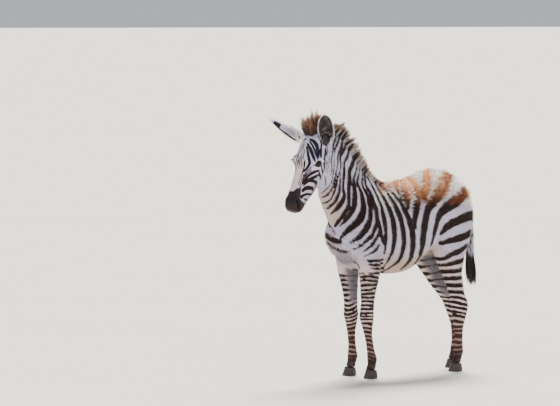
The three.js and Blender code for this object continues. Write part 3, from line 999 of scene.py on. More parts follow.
def paintLegs(points, normals):
    # the bands round the legs, and how much painted shade darkens each place on their inner sides
    bare = markSet["bare"]
    ink = np.full(len(points), -bare)
    inner = np.zeros(len(points))
    for number, (name, bands) in enumerate(legBands.items()):
        members = share[name] > 0.35
        axis = legAxis(points, members)
        height = points[:, 2] * 1000
        steep = np.interp(height, *np.array(sorted(bands["slope"])).T)
        back = (points[:, 1] - axis[:, 1]) * 1000
        wave = ripple(points, 0.045, 20 + number) * 2.9 + ripple(points, 0.016, 30 + number) * 1.0
        level = height + steep * back + wave
        heights = np.array(bands["heights"], float)
        pitch = np.abs(np.gradient(heights))
        side = 1 if "left" in name else -1
        facing = normals[:, 0] * side
        # the inner sides of the upper legs: thinner bands there, and painted shade on the white
        hollow = ramp(facing, -0.35, -0.95) * ramp(height, 300, 345)
        band = np.full(len(points), -bare)
        for middle, gap in zip(heights, pitch):
            half = gap * (markSet["bandShare"] + 0.045 * ripple(points, 0.05, int(middle)))
            half = half * (1 - 0.62 * hollow)
            band = np.maximum(band, half - np.abs(level - middle))
        band = band - 0.8 * hollow
        fade = ramp(share[name], 0.15, 0.6)
        if "fore" in name:
            lift = ramp(height, 462, 488)
            off = np.hypot(points[:, 0] - axis[:, 0], points[:, 1] - axis[:, 1] - 0.014)
            close = ramp(off, 0.082, 0.056)
            fade = (fade * (1 - lift) + close * lift) * ramp(height, 585, 555)
        else:
            fade = fade * ramp(height, 560, 500)
        ink = np.maximum(ink, np.where(fade > 0.02, band * fade - bare * (1 - fade), -bare))
        inner = np.maximum(inner, hollow * ramp(share[name], 0.2, 0.6))
    return ink, inner


def paintEars():
    # the back of each ear: pale, a dark streak on each side below a white tip, and dark lower edges;
    # its hollow dark with a pale rim
    ink = np.full(count, -markSet["bare"])
    dark = np.zeros(count)
    pale = np.zeros(count)
    here = isEar != 0
    wander = ripple(skinPoints, 0.02, 8) * 0.03
    up = earUp + wander
    side = np.abs(earRound)
    streak = ramp(up, 0.62, 0.70) * ramp(up, 0.94, 0.88) * ramp(side, 0.16, 0.46)
    edge = ramp(side, 0.74, 0.84) * ramp(up, 0.04, 0.15) * ramp(up, 0.92, 0.84)
    low = ramp(up, 0.24, 0.12)
    dots = ramp(ripple(skinPoints, 0.007, 9), 0.35, 0.6) * low * 0.72
    outer = here & (earInside < 0.5)
    ink[outer] = (np.maximum(np.maximum(streak, edge), dots)[outer] - 0.5) * 12
    rim = ramp(side, 0.84, 0.95)
    dark[here] = (earInside * (1 - rim))[here]
    tip = ramp(up, 0.92, 0.97) * (1 - earInside)
    ridge = ramp(side, 0.34, 0.10) * (1 - earInside)
    pale[here] = np.maximum(np.maximum(rim * earInside, tip), np.maximum(ridge, low))[here]
    return ink, dark, pale


bare = markSet["bare"]
both = (1, -1)
stripeSets = [  # a region, its stripes, their sides, and where they don't reach
    ("neck", neckStripes, both, ramp(share["head"], 0.55, 0.8)),
    ("trunk", trunkStripes, both, 0),
    ("head", headStripes, both, 1 - ramp(share["head"], 0.10, 0.30)),
    ("head", farStripes, (1,), 0),
    ("neck", jawStripes, both, 0),
    ("neck", breastStripes, (1,), 0),
]
ink = np.full(count, -2 * bare)
for region, stripes, sides, outside in stripeSets:
    ink = np.maximum(ink, paintLines(skinPoints, stripeLines(region, stripes, sides)) - bare * outside)
legInk, innerLegShade = paintLegs(skinPoints, skinNormals)
heights = skinPoints[:, 2]
legZone = ramp(share["legs"], 0.2, 0.7) * ramp(heights, 0.53, 0.49)
ink = np.maximum(ink, legInk)
dockRings = np.sin(heights * 2 * math.pi / markSet["dockRings"] + 0.6 * ripple(skinPoints, 0.03, 21))
dockZone = ramp(share["tail"], 0.5, 0.9) * ramp(heights, 0.56, 0.60) * ramp(heights, 0.83, 0.78)
ink = np.maximum(ink, 5 * dockRings - 1.5 - bare * (1 - dockZone))
earInk, earDark, earPale = paintEars()
ink = np.where(isEar != 0, earInk, ink)

alongTrunk, roundTrunk = readRound("trunk", skinPoints)
alongNeck, roundNeck = readRound("neck", skinPoints)
alongHead, roundHead = readRound("head", skinPoints)
offTrunk, offNeck, offHead = (np.abs(angle) for angle in (roundTrunk, roundNeck, roundHead))  # from the top
fine = np.maximum(share["head"], ramp(alongNeck, 200, 300) * share["neck"]) * (isEar == 0)
ink = ink + markSet["edgeWander"] * (1 - 0.8 * fine) * (1 - 0.5 * legZone) * ripple(skinPoints, 0.012, 3)
ink = ink + markSet["woolSpread"] * wool * ramp(alongTrunk, 20, 120)
soft = markSet["softSide"] + (markSet["softWool"] - markSet["softSide"]) * wool
soft = soft + (markSet["softFine"] - markSet["softSide"]) * fine

# where each colour of the coat lies
muzzleEdge = [  # degrees from the top of the head, millimetres from the poll
    (0, 302), (5, 297), (18, 280), (35, 272), (50, 288), (57, 313), (83, 320), (145, 304), (180, 300),
]
onTop = np.clip((share["trunk"] + share["tail"] + share["legs"]) * 1.5, 0, 1)
# the top of the trunk, where painted sunlight whitens the coat
topTrunk = ramp(offTrunk + 5 * ripple(skinPoints, 0.05, 12), 50, 34)
wander = 4 * ripple(skinPoints, 0.03, 14) + 2 * ripple(skinPoints, 0.012, 15)
# painted shade under the chest, between the forelegs
between = ramp(heights, 0.60, 0.52) * ramp(np.abs(skinPoints[:, 0]), 0.075, 0.045)
between = between * ramp(skinPoints[:, 1], -0.06, -0.12) * (share["trunk"] + share["neck"])
rustLow = 24 + 29 * ramp(alongTrunk, 0, 120)
rusty = ramp(alongTrunk, -150, -60) * onTop
muzzleFrom = np.interp(offHead, *np.array(muzzleEdge, float).T)
muzzleFrom = muzzleFrom + ramp(roundHead, -4, -18) * ramp(offHead, 55, 38) * 20
inFace = share["head"] * (isEar == 0)
belly = ramp(offTrunk, 132, 160) * share["trunk"] * (0.35 + 0.65 * ramp(alongTrunk, -170, -90))
throat = 0.75 * ramp(offNeck, 136, 158) * ramp(alongNeck, 80, 130) * ramp(alongNeck, 300, 250)
amber = np.clip((rustLow - 17 - offTrunk - wander) / 18, 0, 1) * (0.25 + 0.75 * ramp(alongTrunk, 380, 280))
crown = ramp(offTrunk + wander, 17, 6) * ramp(alongTrunk, -130, -70) * ramp(alongTrunk, 170, 90)
fields = {
    "ink": 0.5 + ink / soft / 2,
    "rust": np.clip((rustLow - offTrunk - 1.3 * wander) / 20, 0, 1) * rusty,
    "amber": amber * rusty,
    # painted sunlight: the top of the trunk and of the neck in the brightest white
    "sunlitTop": np.maximum(topTrunk * onTop, 0.25 * ramp(offNeck, 40, 20) * share["neck"]),
    # painted blue sky light on the dark stripes of the brow and the sides of the face
    "skyBlueCast": ramp(alongHead, 190, 150) * ramp(offHead, 8, 20) * ramp(offHead, 100, 80) * inFace,
    "beige": np.maximum(belly, throat * share["neck"]),
    "crown": 0.8 * crown * onTop,
    # painted shade on the inner sides of the upper legs and under the chest
    "inner": np.maximum(innerLegShade, 0.8 * between),
    "muzzle": ramp(alongHead - muzzleFrom + 4 * ripple(skinPoints, 0.02, 6), -7, 8) * inFace,
    "chin": ramp(offHead, 96, 122) * inFace,
    "rosy": np.maximum(ramp(offHead, 34, 10) * ramp(alongHead, 130, 190) * inFace, legZone),
    "earDark": earDark,
    "earPale": earPale,
    "foot": ramp(heights, 0.105, 0.07),
    "low": ramp(heights + 0.012 * ripple(skinPoints, 0.03, 17), 0.29, 0.15) * share["legs"],
}
lidRim = np.zeros(count)
for side in ("left", "right"):
    # the dark floor of each ear, on the head's own skin, and the dark rims of the lids
    root, axis, front, across = earFrame(side)
    rise, aside, ahead = ((skinPoints - root) @ way for way in (axis, across, front))
    wide = 0.006 + 0.021 * ramp(rise, -0.010, 0.022)
    opening = ramp(np.abs(aside), wide, wide * 0.75) * ramp(rise, -0.013, -0.004) * (ahead > -0.016)
    fields["earDark"] = np.maximum(fields["earDark"], opening * (isEar == 0) * (rise < 0.1))
    outside, reach = slitOutside(side, skinPoints)[:2]
    lidRim = np.maximum(lidRim, ramp(outside, 6.6, 4.2) * (reach < eyeSet["zone"]))
# the dark skin of the lid rims, and painted shade in the nostrils and the line of the mouth
fields["lid"] = np.maximum(lidRim, nostrilMouthShade)
fields["wool"] = wool
print("markings: painted")


combSet = {  # the ways that the hair points
    "trunk": (0, 0.97, 0),
    "side": (0, -0.12, -0.5),  # added to the trunk's way down its sides
    "neck": (0, 0.70, -0.72),
    "legs": (0, 0.22, -1.0),
    "tail": (0, 0.1, -1.0),
    "sway": 0.10,
    "stretch": 0.86,  # how far the coat's grain is drawn out along the hair
}


def combing():
    # the way that the hair points at each place, laid flat on the skin
    head = headTurn @ np.array([0, -1, 0])
    top = headTurn @ np.array([0, 0, 1])
    ways = {name: np.array(combSet[name], float) for name in ("trunk", "neck", "legs", "tail")}
    ways["trunk"] = ways["trunk"] + ramp(offTrunk, 20, 80)[:, None] * np.array(combSet["side"])
    cheek = (ramp(offHead, 55, 95) * ramp(alongHead, 260, 190))[:, None]
    brow = ramp(alongHead, 150, 110)[:, None] * (1 - cheek)
    ways["head"] = head * (1 - cheek) * (1 - 2 * brow) + cheek * (-0.75 * top - 0.45 * head)
    flat = np.zeros((count, 3))
    for name in ("trunk", "neck", "head", "legs", "tail"):
        flat += share[name][:, None] * ways[name]
    for side, sign in (("left", 1.0), ("right", -1.0)):
        flat[isEar == sign] = unit(np.array(earSet[side]["lean"], float))
    flat += combSet["sway"] * np.stack([ripple(skinPoints, 0.09, seed) for seed in (40, 41, 42)], 1)
    flat -= skinNormals * (flat * skinNormals).sum(1)[:, None]
    return unit(flat)


comb = combing()
stretched = skinPoints - comb * (comb * skinPoints).sum(1)[:, None] * combSet["stretch"]


# the coat's colours
coatLook = {
    # the coat's white, tinted lavender: partly its own cool white, partly painted blue sky shade
    "skyShadedWhite": colour(214, 207, 230),
    # the brightest white: painted sunlight on the top of the back and neck, and the ears' own white marks
    "sunlitTopAndEarWhite": colour(255, 250, 246),
    "bellyPale": colour(210, 186, 172),
    "crown": colour(236, 184, 146),
    # grey of the painted shade on the inner legs, also the ear hollow's own grey wisps
    "innerShadeAndWispGrey": colour(134, 126, 136),
    "rosyPale": colour(236, 214, 212),
    "dark": colour(38, 23, 21),
    # the dark stripes with painted blue sky light on them
    "skyBlueDark": colour(30, 30, 48),
    "rust": colour(128, 74, 44),
    "amber": colour(240, 178, 132),
    "muzzle": colour(36, 30, 35),
    "muzzleBrown": colour(68, 50, 49),
    "chin": colour(72, 60, 58),
    "earHollow": colour(52, 43, 39),
    "earBlotch": colour(20, 16, 18),
    "foot": colour(56, 41, 38),
    "lowPale": colour(158, 130, 122),
    "lowDark": colour(66, 42, 37),
    # near black: the lid rims' own skin, and painted shade in the nostrils and the mouth line
    "lid": colour(20, 17, 20),
    "speckle": 0.24,
    "tipLight": 0.32,  # how much lighter the tips of the tufts are than their roots: painted shade deep in the coat
}


def coatColour(board, fine):
    # the same colours for the skin and every tuft that grows on it
    grain = board.noise(fine, 260.0, 2.0)
    patch = board.noise(board.vector("spot"), 34.0, 3.0)
    look = coatLook
    ink = (board.field("ink") + (grain - 0.5) * 0.34).clamp()
    mark = board.step(ink, 0.30, 0.70)
    # the white starts from its lavender tint of painted sky shade
    pale = board.tint(board.field("rosy"), look["skyShadedWhite"], look["rosyPale"])
    pale = board.tint(board.field("beige"), pale, look["bellyPale"])
    # painted shade on the inner legs and under the chest
    pale = board.tint(board.field("inner"), pale, look["innerShadeAndWispGrey"])
    # painted sunlight whitens the top of the trunk and of the neck
    pale = board.tint(board.field("sunlitTop"), pale, look["sunlitTopAndEarWhite"])
    pale = board.tint((board.field("crown") * (0.5 + patch)).clamp(), pale, look["crown"])
    pale = board.tint(board.field("earPale"), pale, look["sunlitTopAndEarWhite"])
    pale = board.tint(board.field("low"), pale, look["lowPale"])
    # painted blue sky light on the dark stripes of the brow and face
    dark = board.tint(board.field("skyBlueCast"), look["dark"], look["skyBlueDark"])
    dark = board.tint(board.field("low"), dark, look["lowDark"])
    dark = board.tint(board.step(board.field("rust") + (patch - 0.5) * 0.7, 0.1, 0.9), dark, look["rust"])
    dark = board.tint(board.step(board.field("amber") + (patch - 0.5) * 0.6, 0.1, 0.9), dark, look["amber"])
    full = board.tint(mark, pale, dark)
    full = board.tint((board.field("foot") * (0.55 + patch * 0.7)).clamp(), full, look["foot"])
    snout = board.tint(board.step(patch, 0.46, 0.74) * 0.7, look["muzzle"], look["muzzleBrown"])
    lips = board.tint(board.step(board.field("chin") + (patch - 0.5) * 0.8, 0.2, 0.8), snout, look["chin"])
    full = board.tint(board.step(board.field("muzzle") + (grain - 0.5) * 0.5, 0.25, 0.75), full, lips)
    blotch = board.step(patch + (grain - 0.5) * 0.4, 0.42, 0.56)
    hollow = board.tint(blotch, look["earBlotch"], look["earHollow"])
    wisp = board.step(patch + (grain - 0.5) * 0.5, 0.62, 0.76) * 0.55
    hollow = board.tint(wisp, hollow, look["innerShadeAndWispGrey"])
    full = board.tint((board.field("earDark") * (0.7 + grain * 0.6)).clamp(), full, hollow)
    full = board.tint(board.field("lid"), full, look["lid"])
    speckle = board.step(grain * 0.6 + patch * 0.4, 0.35, 0.75) * look["speckle"]
    shade = 1.0 - speckle * (1.0 - board.field("wool") * 0.6)
    return board.tint(1.0, full, board.grey(shade), "MULTIPLY"), grain


def makeSkinMaterial():
    board = Board("skinCoat")
    streak = board.vector("combed")
    base, grain = coatColour(board, streak)
    hairs = board.noise(streak, 900.0, 2.0)
    lumps = board.noise(board.vector("spot"), 160.0, 2.0)
    return board.finish({
        "Base Color": base,
        "Roughness": 0.62 + grain * 0.25,
        "Sheen Weight": 0.06,
        "Sheen Roughness": 0.5,
        "Specular IOR Level": 0.12,
        "Normal": board.bump(hairs * 0.6 + lumps * 0.6, 0.5, 0.0016),
    })


for name, values in fields.items():
    storeField(skinMesh, name, values)
storeField(skinMesh, "combed", stretched)
storeField(skinMesh, "spot", skinPoints)
skinPiece = newObject("skin", skinMesh)
skinMesh.materials.append(makeSkinMaterial())
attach(skinPiece, "root")
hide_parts(*fleshNodes, "ear_left", "ear_right")
print("skin: finished")


def strandFaces(total, levels):
    # the corners of every strand: rings of three and a tip
    size = 3 * (levels - 1) + 1
    base = (np.arange(total) * size)[:, None]
    quads = []
    for level in range(levels - 2):
        for corner in range(3):
            after = (corner + 1) % 3
            low = 3 * level
            quads.append(base + [low + corner, low + after, low + 3 + after, low + 3 + corner])
    low = 3 * (levels - 2)
    threes = [base + [low + corner, low + (corner + 1) % 3, size - 1] for corner in range(3)]
    threes.append(base + [2, 1, 0])
    return (np.concatenate(quads) if quads else np.zeros((0, 4), int)), np.concatenate(threes)


def strandPoints(paths, facing, widths, taper):
    # paths: strands x levels x 3; taper: the share of the width at each level but the tip
    levels = paths.shape[1]
    forward = np.gradient(paths, axis=1)
    side = unit(np.cross(forward, facing[:, None, :]))
    rise = unit(np.cross(side, forward))
    half = widths[:, None, None] * np.asarray(taper)[None, :, None] / 2
    body = paths[:, :-1]
    corners = np.stack([
        body - side[:, :-1] * half,
        body + rise[:, :-1] * half * 0.9,
        body + side[:, :-1] * half,
    ], 2)
    corners = corners.reshape(len(paths), 3 * (levels - 1), 3)
    return np.concatenate([corners, paths[:, -1:]], 1)


def growPiece(name, paths, facing, widths, taper, marks, flatPlace, material, body="root"):
    # one piece of coat: each strand carries its root's markings, and is a small patch of the bake map
    total, levels = paths.shape[:2]
    if total == 0:
        return None
    points = strandPoints(paths, facing, widths, taper)
    size = points.shape[1]
    quads, threes = strandFaces(total, levels)
    mesh = meshFrom(name, points.reshape(-1, 3), [quads, threes] if len(quads) else [threes])
    level = np.append(np.repeat(np.arange(levels - 1), 3), levels - 1)
    tip = level / (levels - 1)
    across = np.append(np.tile([-1.0, 0.0, 1.0], levels - 1), 0.0) * (1 - tip * 0.6)
    for key, values in marks.items():
        storeField(mesh, key, np.repeat(values, size, axis=0))
    storeField(mesh, "tip", np.tile(tip, total))
    offset = np.stack([across * 0.0014, (tip - 0.5) * 0.0028], 1)
    flat = (flatPlace[:, None, :] + offset[None]).reshape(-1, 2)
    loops = np.empty(len(mesh.loops), np.int32)
    mesh.loops.foreach_get("vertex_index", loops)
    layer = mesh.uv_layers.new(name="OFBake")
    layer.data.foreach_set("uv", flat[loops].astype(np.float32).ravel())
    mesh.materials.append(material)
    piece = newObject(name, mesh)
    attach(piece, body)
    print(name, total, "tufts", len(quads) * 2 + len(threes), "triangles")
    return piece


def unwrapTo(first, second):
    # two readings of a place on the skin, spread over the bake map
    out = []
    for values in (first, second):
        low, high = values.min(), values.max()
        out.append(0.02 + 0.96 * (values - low) / max(high - low, 1e-6))
    return np.stack(out, 1)


coatSet = {
    "tufts": 150000,
    "body": 0.0105,  # lengths in metres
    "wool": 0.030,
    "neck": 0.0095,
    "face": 0.0042,
    "cheek": 0.0075,
    "breast": 0.016,
    "thigh": 0.0088,
    "shin": 0.0046,
    "ear": 0.0062,
    "earFluff": 0.012,
    "tail": 0.034,
    "muzzle": 0.0019,
    "lids": 0.0022,
    "widest": 0.0021,
    "finest": 0.0007,
    "flatLift": 13.0,  # degrees off the skin
    "woolLift": 46.0,
    "fineBelow": 0.0068,  # shorter tufts are made of fewer faces
    "woolly": 0.4,  # share of wool from which the back's piece takes over from the sides'
}


def mix(first, second, factor):
    return first + (second - first) * factor


def coatSizes():
    # length, lift off the skin, thickness and density of the tufts over the whole skin
    look = coatSet
    longs = look["body"] * share["trunk"]
    longs += look["neck"] * share["neck"]
    under = ramp(offHead, 60, 120)
    longs += share["head"] * mix(look["face"], look["cheek"], under)
    shin = ramp(heights, 0.42, 0.30)
    longs += share["legs"] * mix(look["thigh"], look["shin"], shin)
    longs += look["tail"] * share["tail"]
    breast = ramp(offTrunk, 70, 110) * ramp(skinPoints[:, 1], -0.17, -0.23) * share["trunk"]
    longs = mix(longs, look["breast"], breast)
    behind = ramp(skinNormals[:, 1], 0.3, 0.8) * share["legs"]
    longs = longs * (1 + 0.7 * behind)
    longs = mix(longs, look["wool"], wool)
    longs = mix(longs, look["muzzle"], fields["muzzle"])
    longs = mix(longs, look["lids"], ramp(nearEye(skinPoints), 0.034, 0.026) * (isEar == 0))
    rimHair = ramp(np.abs(earRound), 0.75, 0.95)
    fluff = ramp(earUp, 0.30, 0.08) * (earInside < 0.5) + 0.7 * ramp(earUp, 0.6, 0.2) * (earInside > 0.5)
    longs = np.where(isEar != 0, look["ear"] * (1 + 0.6 * rimHair) + look["earFluff"] * fluff, longs)
    lift = look["flatLift"] + (look["woolLift"] - look["flatLift"]) * wool + 12 * breast + 6 * behind
    lift = np.where((isEar != 0) & (earInside > 0.5), 28, lift) + 26 * fluff * (isEar != 0)
    thick = np.clip(longs * 0.115, look["finest"], look["widest"])
    density = 1 / (longs ** 0.85 * thick) * (1 + 1.1 * wool)
    density = density * np.where(lidRim > 0.3, 0.0, 1.0) * np.where(fields["muzzle"] > 0.5, 0.30, 1.0)
    density = density * (1 + 5 * share["tail"]) * np.where(heights < 0.036, 0.0, 1.0)  # none on the hooves
    return longs, lift, thick, density


def pickRoots(total, density):
    # evenly spread places over the skin, thicker where density is higher
    skinMesh.calc_loop_triangles()
    corners = np.empty(len(skinMesh.loop_triangles) * 3, np.int32)
    skinMesh.loop_triangles.foreach_get("vertices", corners)
    corners = corners.reshape(-1, 3)
    a, b, c = (skinPoints[corners[:, k]] for k in range(3))
    area = np.linalg.norm(np.cross(b - a, c - a), axis=1) / 2 * density[corners].mean(1)
    steps = np.cumsum(area)
    at = (np.arange(total) + rng.uniform(0, 1, total)) / total * steps[-1]
    face = np.minimum(np.searchsorted(steps, at), len(area) - 1)
    u, v = rng.uniform(0, 1, total), rng.uniform(0, 1, total)
    over = u + v > 1
    u[over], v[over] = 1 - u[over], 1 - v[over]
    weight = np.stack([1 - u - v, u, v], 1)
    return corners[face], weight


def readAt(values, corners, weight):
    if values.ndim == 1:
        return (values[corners] * weight).sum(1)
    return (values[corners] * weight[:, :, None]).sum(1)


longs, lifts, thicks, density = coatSizes()
corners, weight = pickRoots(coatSet["tufts"], density)
root = readAt(skinPoints, corners, weight)
face = unit(readAt(skinNormals, corners, weight))
way = readAt(comb, corners, weight)
turn = rng.normal(0, 0.20, len(root)) + 0.35 * ripple(root, 0.02, 60)
turn = turn * (1 + 1.4 * readAt(wool, corners, weight))
way = unit(way * np.cos(turn)[:, None] + np.cross(face, way) * np.sin(turn)[:, None])
long = readAt(longs, corners, weight) * rng.uniform(0.7, 1.25, len(root))
lift = readAt(lifts, corners, weight) * rng.uniform(0.6, 1.5, len(root))
thick = readAt(thicks, corners, weight) * rng.uniform(0.8, 1.2, len(root))
woolly = readAt(wool, corners, weight)
marks = {key: readAt(values, corners, weight) for key, values in fields.items()}
marks["combed"] = readAt(stretched, corners, weight)
marks["spot"] = root
marks["fray"] = rng.uniform(0, 1, len(root))


def tuftPaths(pick, levels):
    # each tuft leaves the skin steeply and lies down towards its tip
    spots = np.linspace(0, 1, levels)
    path = np.empty((pick.sum(), levels, 3))
    path[:, 0] = root[pick] - face[pick] * 0.0004
    here = path[:, 0].copy()
    for k in range(1, levels):
        middle = (spots[k] + spots[k - 1]) / 2
        slope = np.radians(lift[pick] * (1.5 - 1.1 * middle))
        step = way[pick] * np.cos(slope)[:, None] + face[pick] * np.sin(slope)[:, None]
        here = here + step * (long[pick] * (spots[k] - spots[k - 1]))[:, None]
        path[:, k] = here
    return path


def gatherLocks(path, pull, every, seed):
    # draws the tips of neighbouring tufts together into locks
    lot = np.random.default_rng(seed)
    leaders = lot.choice(len(path), max(1, len(path) // every), replace=False)
    heads = path[leaders, 0]
    nearest = np.empty(len(path), int)
    for begin in range(0, len(path), 2000):
        some = path[begin:begin + 2000, 0]
        gap = ((some[:, None, :] - heads[None]) ** 2).sum(2)
        nearest[begin:begin + 2000] = leaders[gap.argmin(1)]
    spots = np.linspace(0, 1, path.shape[1]) ** 1.5
    aim = path[nearest]
    return path + (aim - path) * (spots[None, :, None] * pull[:, None, None])


def makeCoatMaterial():
    board = Board("coatTufts")
    base = coatColour(board, board.vector("combed"))[0]
    # roots darker than tips: painted shade among the tufts; the fray term is tone that differs at random
    light = 0.80 + board.field("tip") * coatLook["tipLight"] + (board.field("fray") - 0.5) * 0.22
    base = board.tint(1.0, base, board.grey(light), "MULTIPLY")
    return board.finish({
        "Base Color": base,
        "Roughness": 0.55 + board.field("fray") * 0.25,
        "Sheen Weight": 0.06,
        "Sheen Roughness": 0.4,
        "Specular IOR Level": 0.12,
    })


coatMaterial = makeCoatMaterial()


def growCoat():
    owned = np.stack([readAt(share[name], corners, weight) for name in fleshNodes], 1).argmax(1)
    ear = readAt(isEar, corners, weight)
    earHigh = readAt(earUp, corners, weight)
    earTurn = readAt(earRound, corners, weight) + 2.4 * readAt(earInside, corners, weight) + 5 * (ear > 0)
    trunkAlong, trunkRound = readRound("trunk", root)
    neckAlong, neckRound = readRound("neck", root)
    headAlong, headRound = readRound("head", root)
    tailRound = np.arctan2(root[:, 0] - 0.005, root[:, 1] - 0.515)
    isTrunk = (owned == fleshNodes.index("trunk")) & (ear == 0)
    isNeck = (owned == fleshNodes.index("neck")) & (ear == 0)
    onHead = (owned == fleshNodes.index("head")) & (ear == 0)
    isWool = woolly > coatSet["woolly"]
    leftSide = root[:, 0] > bodySet["middle"]
    lots = {
        "coatBack": (isTrunk & isWool, trunkAlong, trunkRound),
        "coatSideLeft": (isTrunk & ~isWool & leftSide, trunkAlong, trunkRound),
        "coatSideRight": (isTrunk & ~isWool & ~leftSide, trunkAlong, trunkRound),
        "coatNeckLeft": (isNeck & (neckRound > 0), neckAlong, neckRound),
        "coatNeckRight": (isNeck & (neckRound <= 0), neckAlong, neckRound),
        "coatHeadLeft": (onHead & (headRound > 0), headAlong, headRound),
        "coatHeadRight": (onHead & (headRound <= 0), headAlong, headRound),
        "coatEars": (ear != 0, earHigh, earTurn),
        "coatTail": (owned == fleshNodes.index("tail"), root[:, 2], tailRound),
    }
    for name, label in zip(legNodes, ("coatForeLeft", "coatForeRight", "coatHindLeft", "coatHindRight")):
        members = owned == fleshNodes.index(name)
        middle = legAxis(root, members)
        aroundLeg = np.arctan2(root[:, 0] - middle[:, 0], root[:, 1] - middle[:, 1])
        lots[label] = (members, root[:, 2], aroundLeg)
    isFine = long <= coatSet["fineBelow"]
    for label, (pick, first, second) in lots.items():
        flat = np.zeros((len(root), 2))
        if pick.sum() == 0:
            continue
        flat[pick] = unwrapTo(first[pick], second[pick])
        for grade, levels, chosen in (("", 3, pick & ~isFine), ("Fine", 2, pick & isFine)):
            if chosen.sum() < 50:
                continue
            path = tuftPaths(chosen, levels)
            pull = 0.25 + 0.35 * woolly[chosen]
            path = gatherLocks(path, pull, 7, 3)
            taper = (1.0, 0.72) if levels == 3 else (1.0,)
            some = {key: values[chosen] for key, values in marks.items()}
            growPiece(label + grade, path, face[chosen], thick[chosen], taper, some, flat[chosen],
                      coatMaterial)


growCoat()
print("coat: grown")


# mane, forelock and tail
hairSet = {
    "mane": {
        "root": colour(200, 188, 196),
        "middle": colour(208, 192, 188),
        "tip": colour(150, 116, 98),
        "dark": colour(34, 24, 25),
        "darkMiddle": colour(44, 30, 28),
        "darkTip": colour(92, 62, 50),
    },
    # the forelock's dark roots: partly its own colour, partly painted shade inside the dense lock
    "fore": {
        "root": colour(46, 34, 34),
        "middle": colour(98, 70, 60),
        "tip": colour(202, 152, 120),
        "dark": colour(28, 20, 22),
        "darkMiddle": colour(62, 40, 32),
        "darkTip": colour(150, 98, 70),
    },
    "brush": {
        "root": colour(96, 78, 70),
        "middle": colour(26, 21, 25),
        "tip": colour(52, 42, 42),
        "dark": colour(26, 21, 24),
        "darkMiddle": colour(20, 17, 22),
        "darkTip": colour(40, 33, 36),
    },
    "strandWidth": 0.0016,
    "maneForm": {
        "strands": 6200,
        "from": -0.345,  # Y of the first and last roots
        "to": 0.020,
        "spread": 0.0085,  # to each side of the crest
        "uneven": 0.26,  # how much shorter the shortest strands are
        "pull": 0.70,  # how hard the locks draw together
        "every": 26,  # strands in a lock
        "bend": 0.30,  # how far the tips fall back, as a share of the length
        "reach": 1.14,  # share of the solid's height
        "seed": 31,
    },
    "foreForm": {
        "strands": 2600,
        "from": -0.416,
        "to": -0.338,
        "spread": 0.0130,
        "uneven": 0.50,
        "pull": 0.92,
        "every": 20,
        "bend": 0.04,
        "reach": 1.70,
        "seed": 47,
    },
    "maneReach": [  # Y of the root, share of the solid's height
        (-0.40, 1.0), (-0.36, 0.92), (-0.33, 0.82), (-0.295, 0.74), (-0.275, 0.92),
        (-0.255, 1.24), (-0.235, 0.95), (-0.20, 0.92), (-0.15, 0.95),
    ],
    "maneLean": [  # Y of the root, degrees back from upright (negative: forward)
        (-0.410, -34), (-0.384, -22), (-0.362, -8), (-0.334, 2), (-0.30, 12), (-0.27, 24),
        (-0.232, 34), (-0.188, 40), (-0.138, 40), (-0.084, 38), (-0.036, 40), (0.012, 38),
    ],
    "crestMiddle": [(-0.40, 0.012), (-0.30, 0.008), (-0.10, 0.001)],  # Y, how far left the crest lies
    "solidMiddle": [(-0.40, 0.012), (-0.10, 0.002)],  # the same for the solids of the hair
    "farthest": 0.30,  # the solids are looked for up to here over the crest
    "shortest": 0.018,  # where there is no solid over the crest
    "brushStrands": 2000,
    "brushWidth": 0.0017,
    "brushForm": [  # height, Y of the middle, half depth, half width
        (0.35, 0.536, 0.020, 0.014),
        (0.372, 0.534, 0.024, 0.017),
        (0.40, 0.530, 0.030, 0.020),
        (0.435, 0.5265, 0.031, 0.022),
        (0.475, 0.523, 0.028, 0.021),
        (0.508, 0.521, 0.024, 0.018),
        (0.54, 0.521, 0.018, 0.015),
        (0.60, 0.522, 0.015, 0.013),
        (0.66, 0.522, 0.012, 0.010),
    ],
}


def makeHairMaterial(name, look):
    board = Board(name)
    grain = board.noise(board.vector("spot"), 420.0, 2.0)
    mark = board.step((board.field("ink") + (board.field("fray") - 0.5) * 0.5).clamp(), 0.35, 0.65)
    tip = board.field("tip") + board.field("brown") + (board.field("fray") - 0.5) * 0.24
    low = board.step(tip, 0.05, 0.45)
    high = board.step(tip, 0.60, 1.0)
    light = board.tint(high, board.tint(low, look["root"], look["middle"]), look["tip"])
    deep = board.tint(high, board.tint(low, look["dark"], look["darkMiddle"]), look["darkTip"])
    base = board.tint(mark, light, deep)
    shade = 0.70 + board.field("fray") * 0.42 + (grain - 0.5) * 0.2
    base = board.tint(1.0, base, board.grey(shade), "MULTIPLY")
    return board.finish({
        "Base Color": base,
        "Roughness": 0.46 + board.field("fray") * 0.2,
        "Sheen Weight": 0.08,
        "Specular IOR Level": 0.2,
    })


skinKnots = KDTree(bodyCount)
for index in range(bodyCount):
    skinKnots.insert(Vector(skinPoints[index]), index)
skinKnots.balance()


def nearestMarks(points):
    index = np.array([skinKnots.find(Vector(p))[1] for p in points])
    found = {key: values[index] for key, values in fields.items()}
    found["combed"] = stretched[index]
    found["spot"] = points
    found["fray"] = rng.uniform(0, 1, len(points))
    return found


def reachOut(tree, starts, ways, far):
    # how far it is from each start to where its way leaves a solid
    out = np.zeros(len(starts))
    for k in range(len(starts)):
        end = starts[k] + ways[k] * far
        hit = tree.ray_cast(Vector(end), Vector(-ways[k]), far)
        out[k] = far - hit[3] if hit[0] is not None else 0
    return out


def nodeTree(name):
    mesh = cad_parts[name].data
    return BVHTree.FromPolygons([v.co for v in mesh.vertices], [p.vertices for p in mesh.polygons])


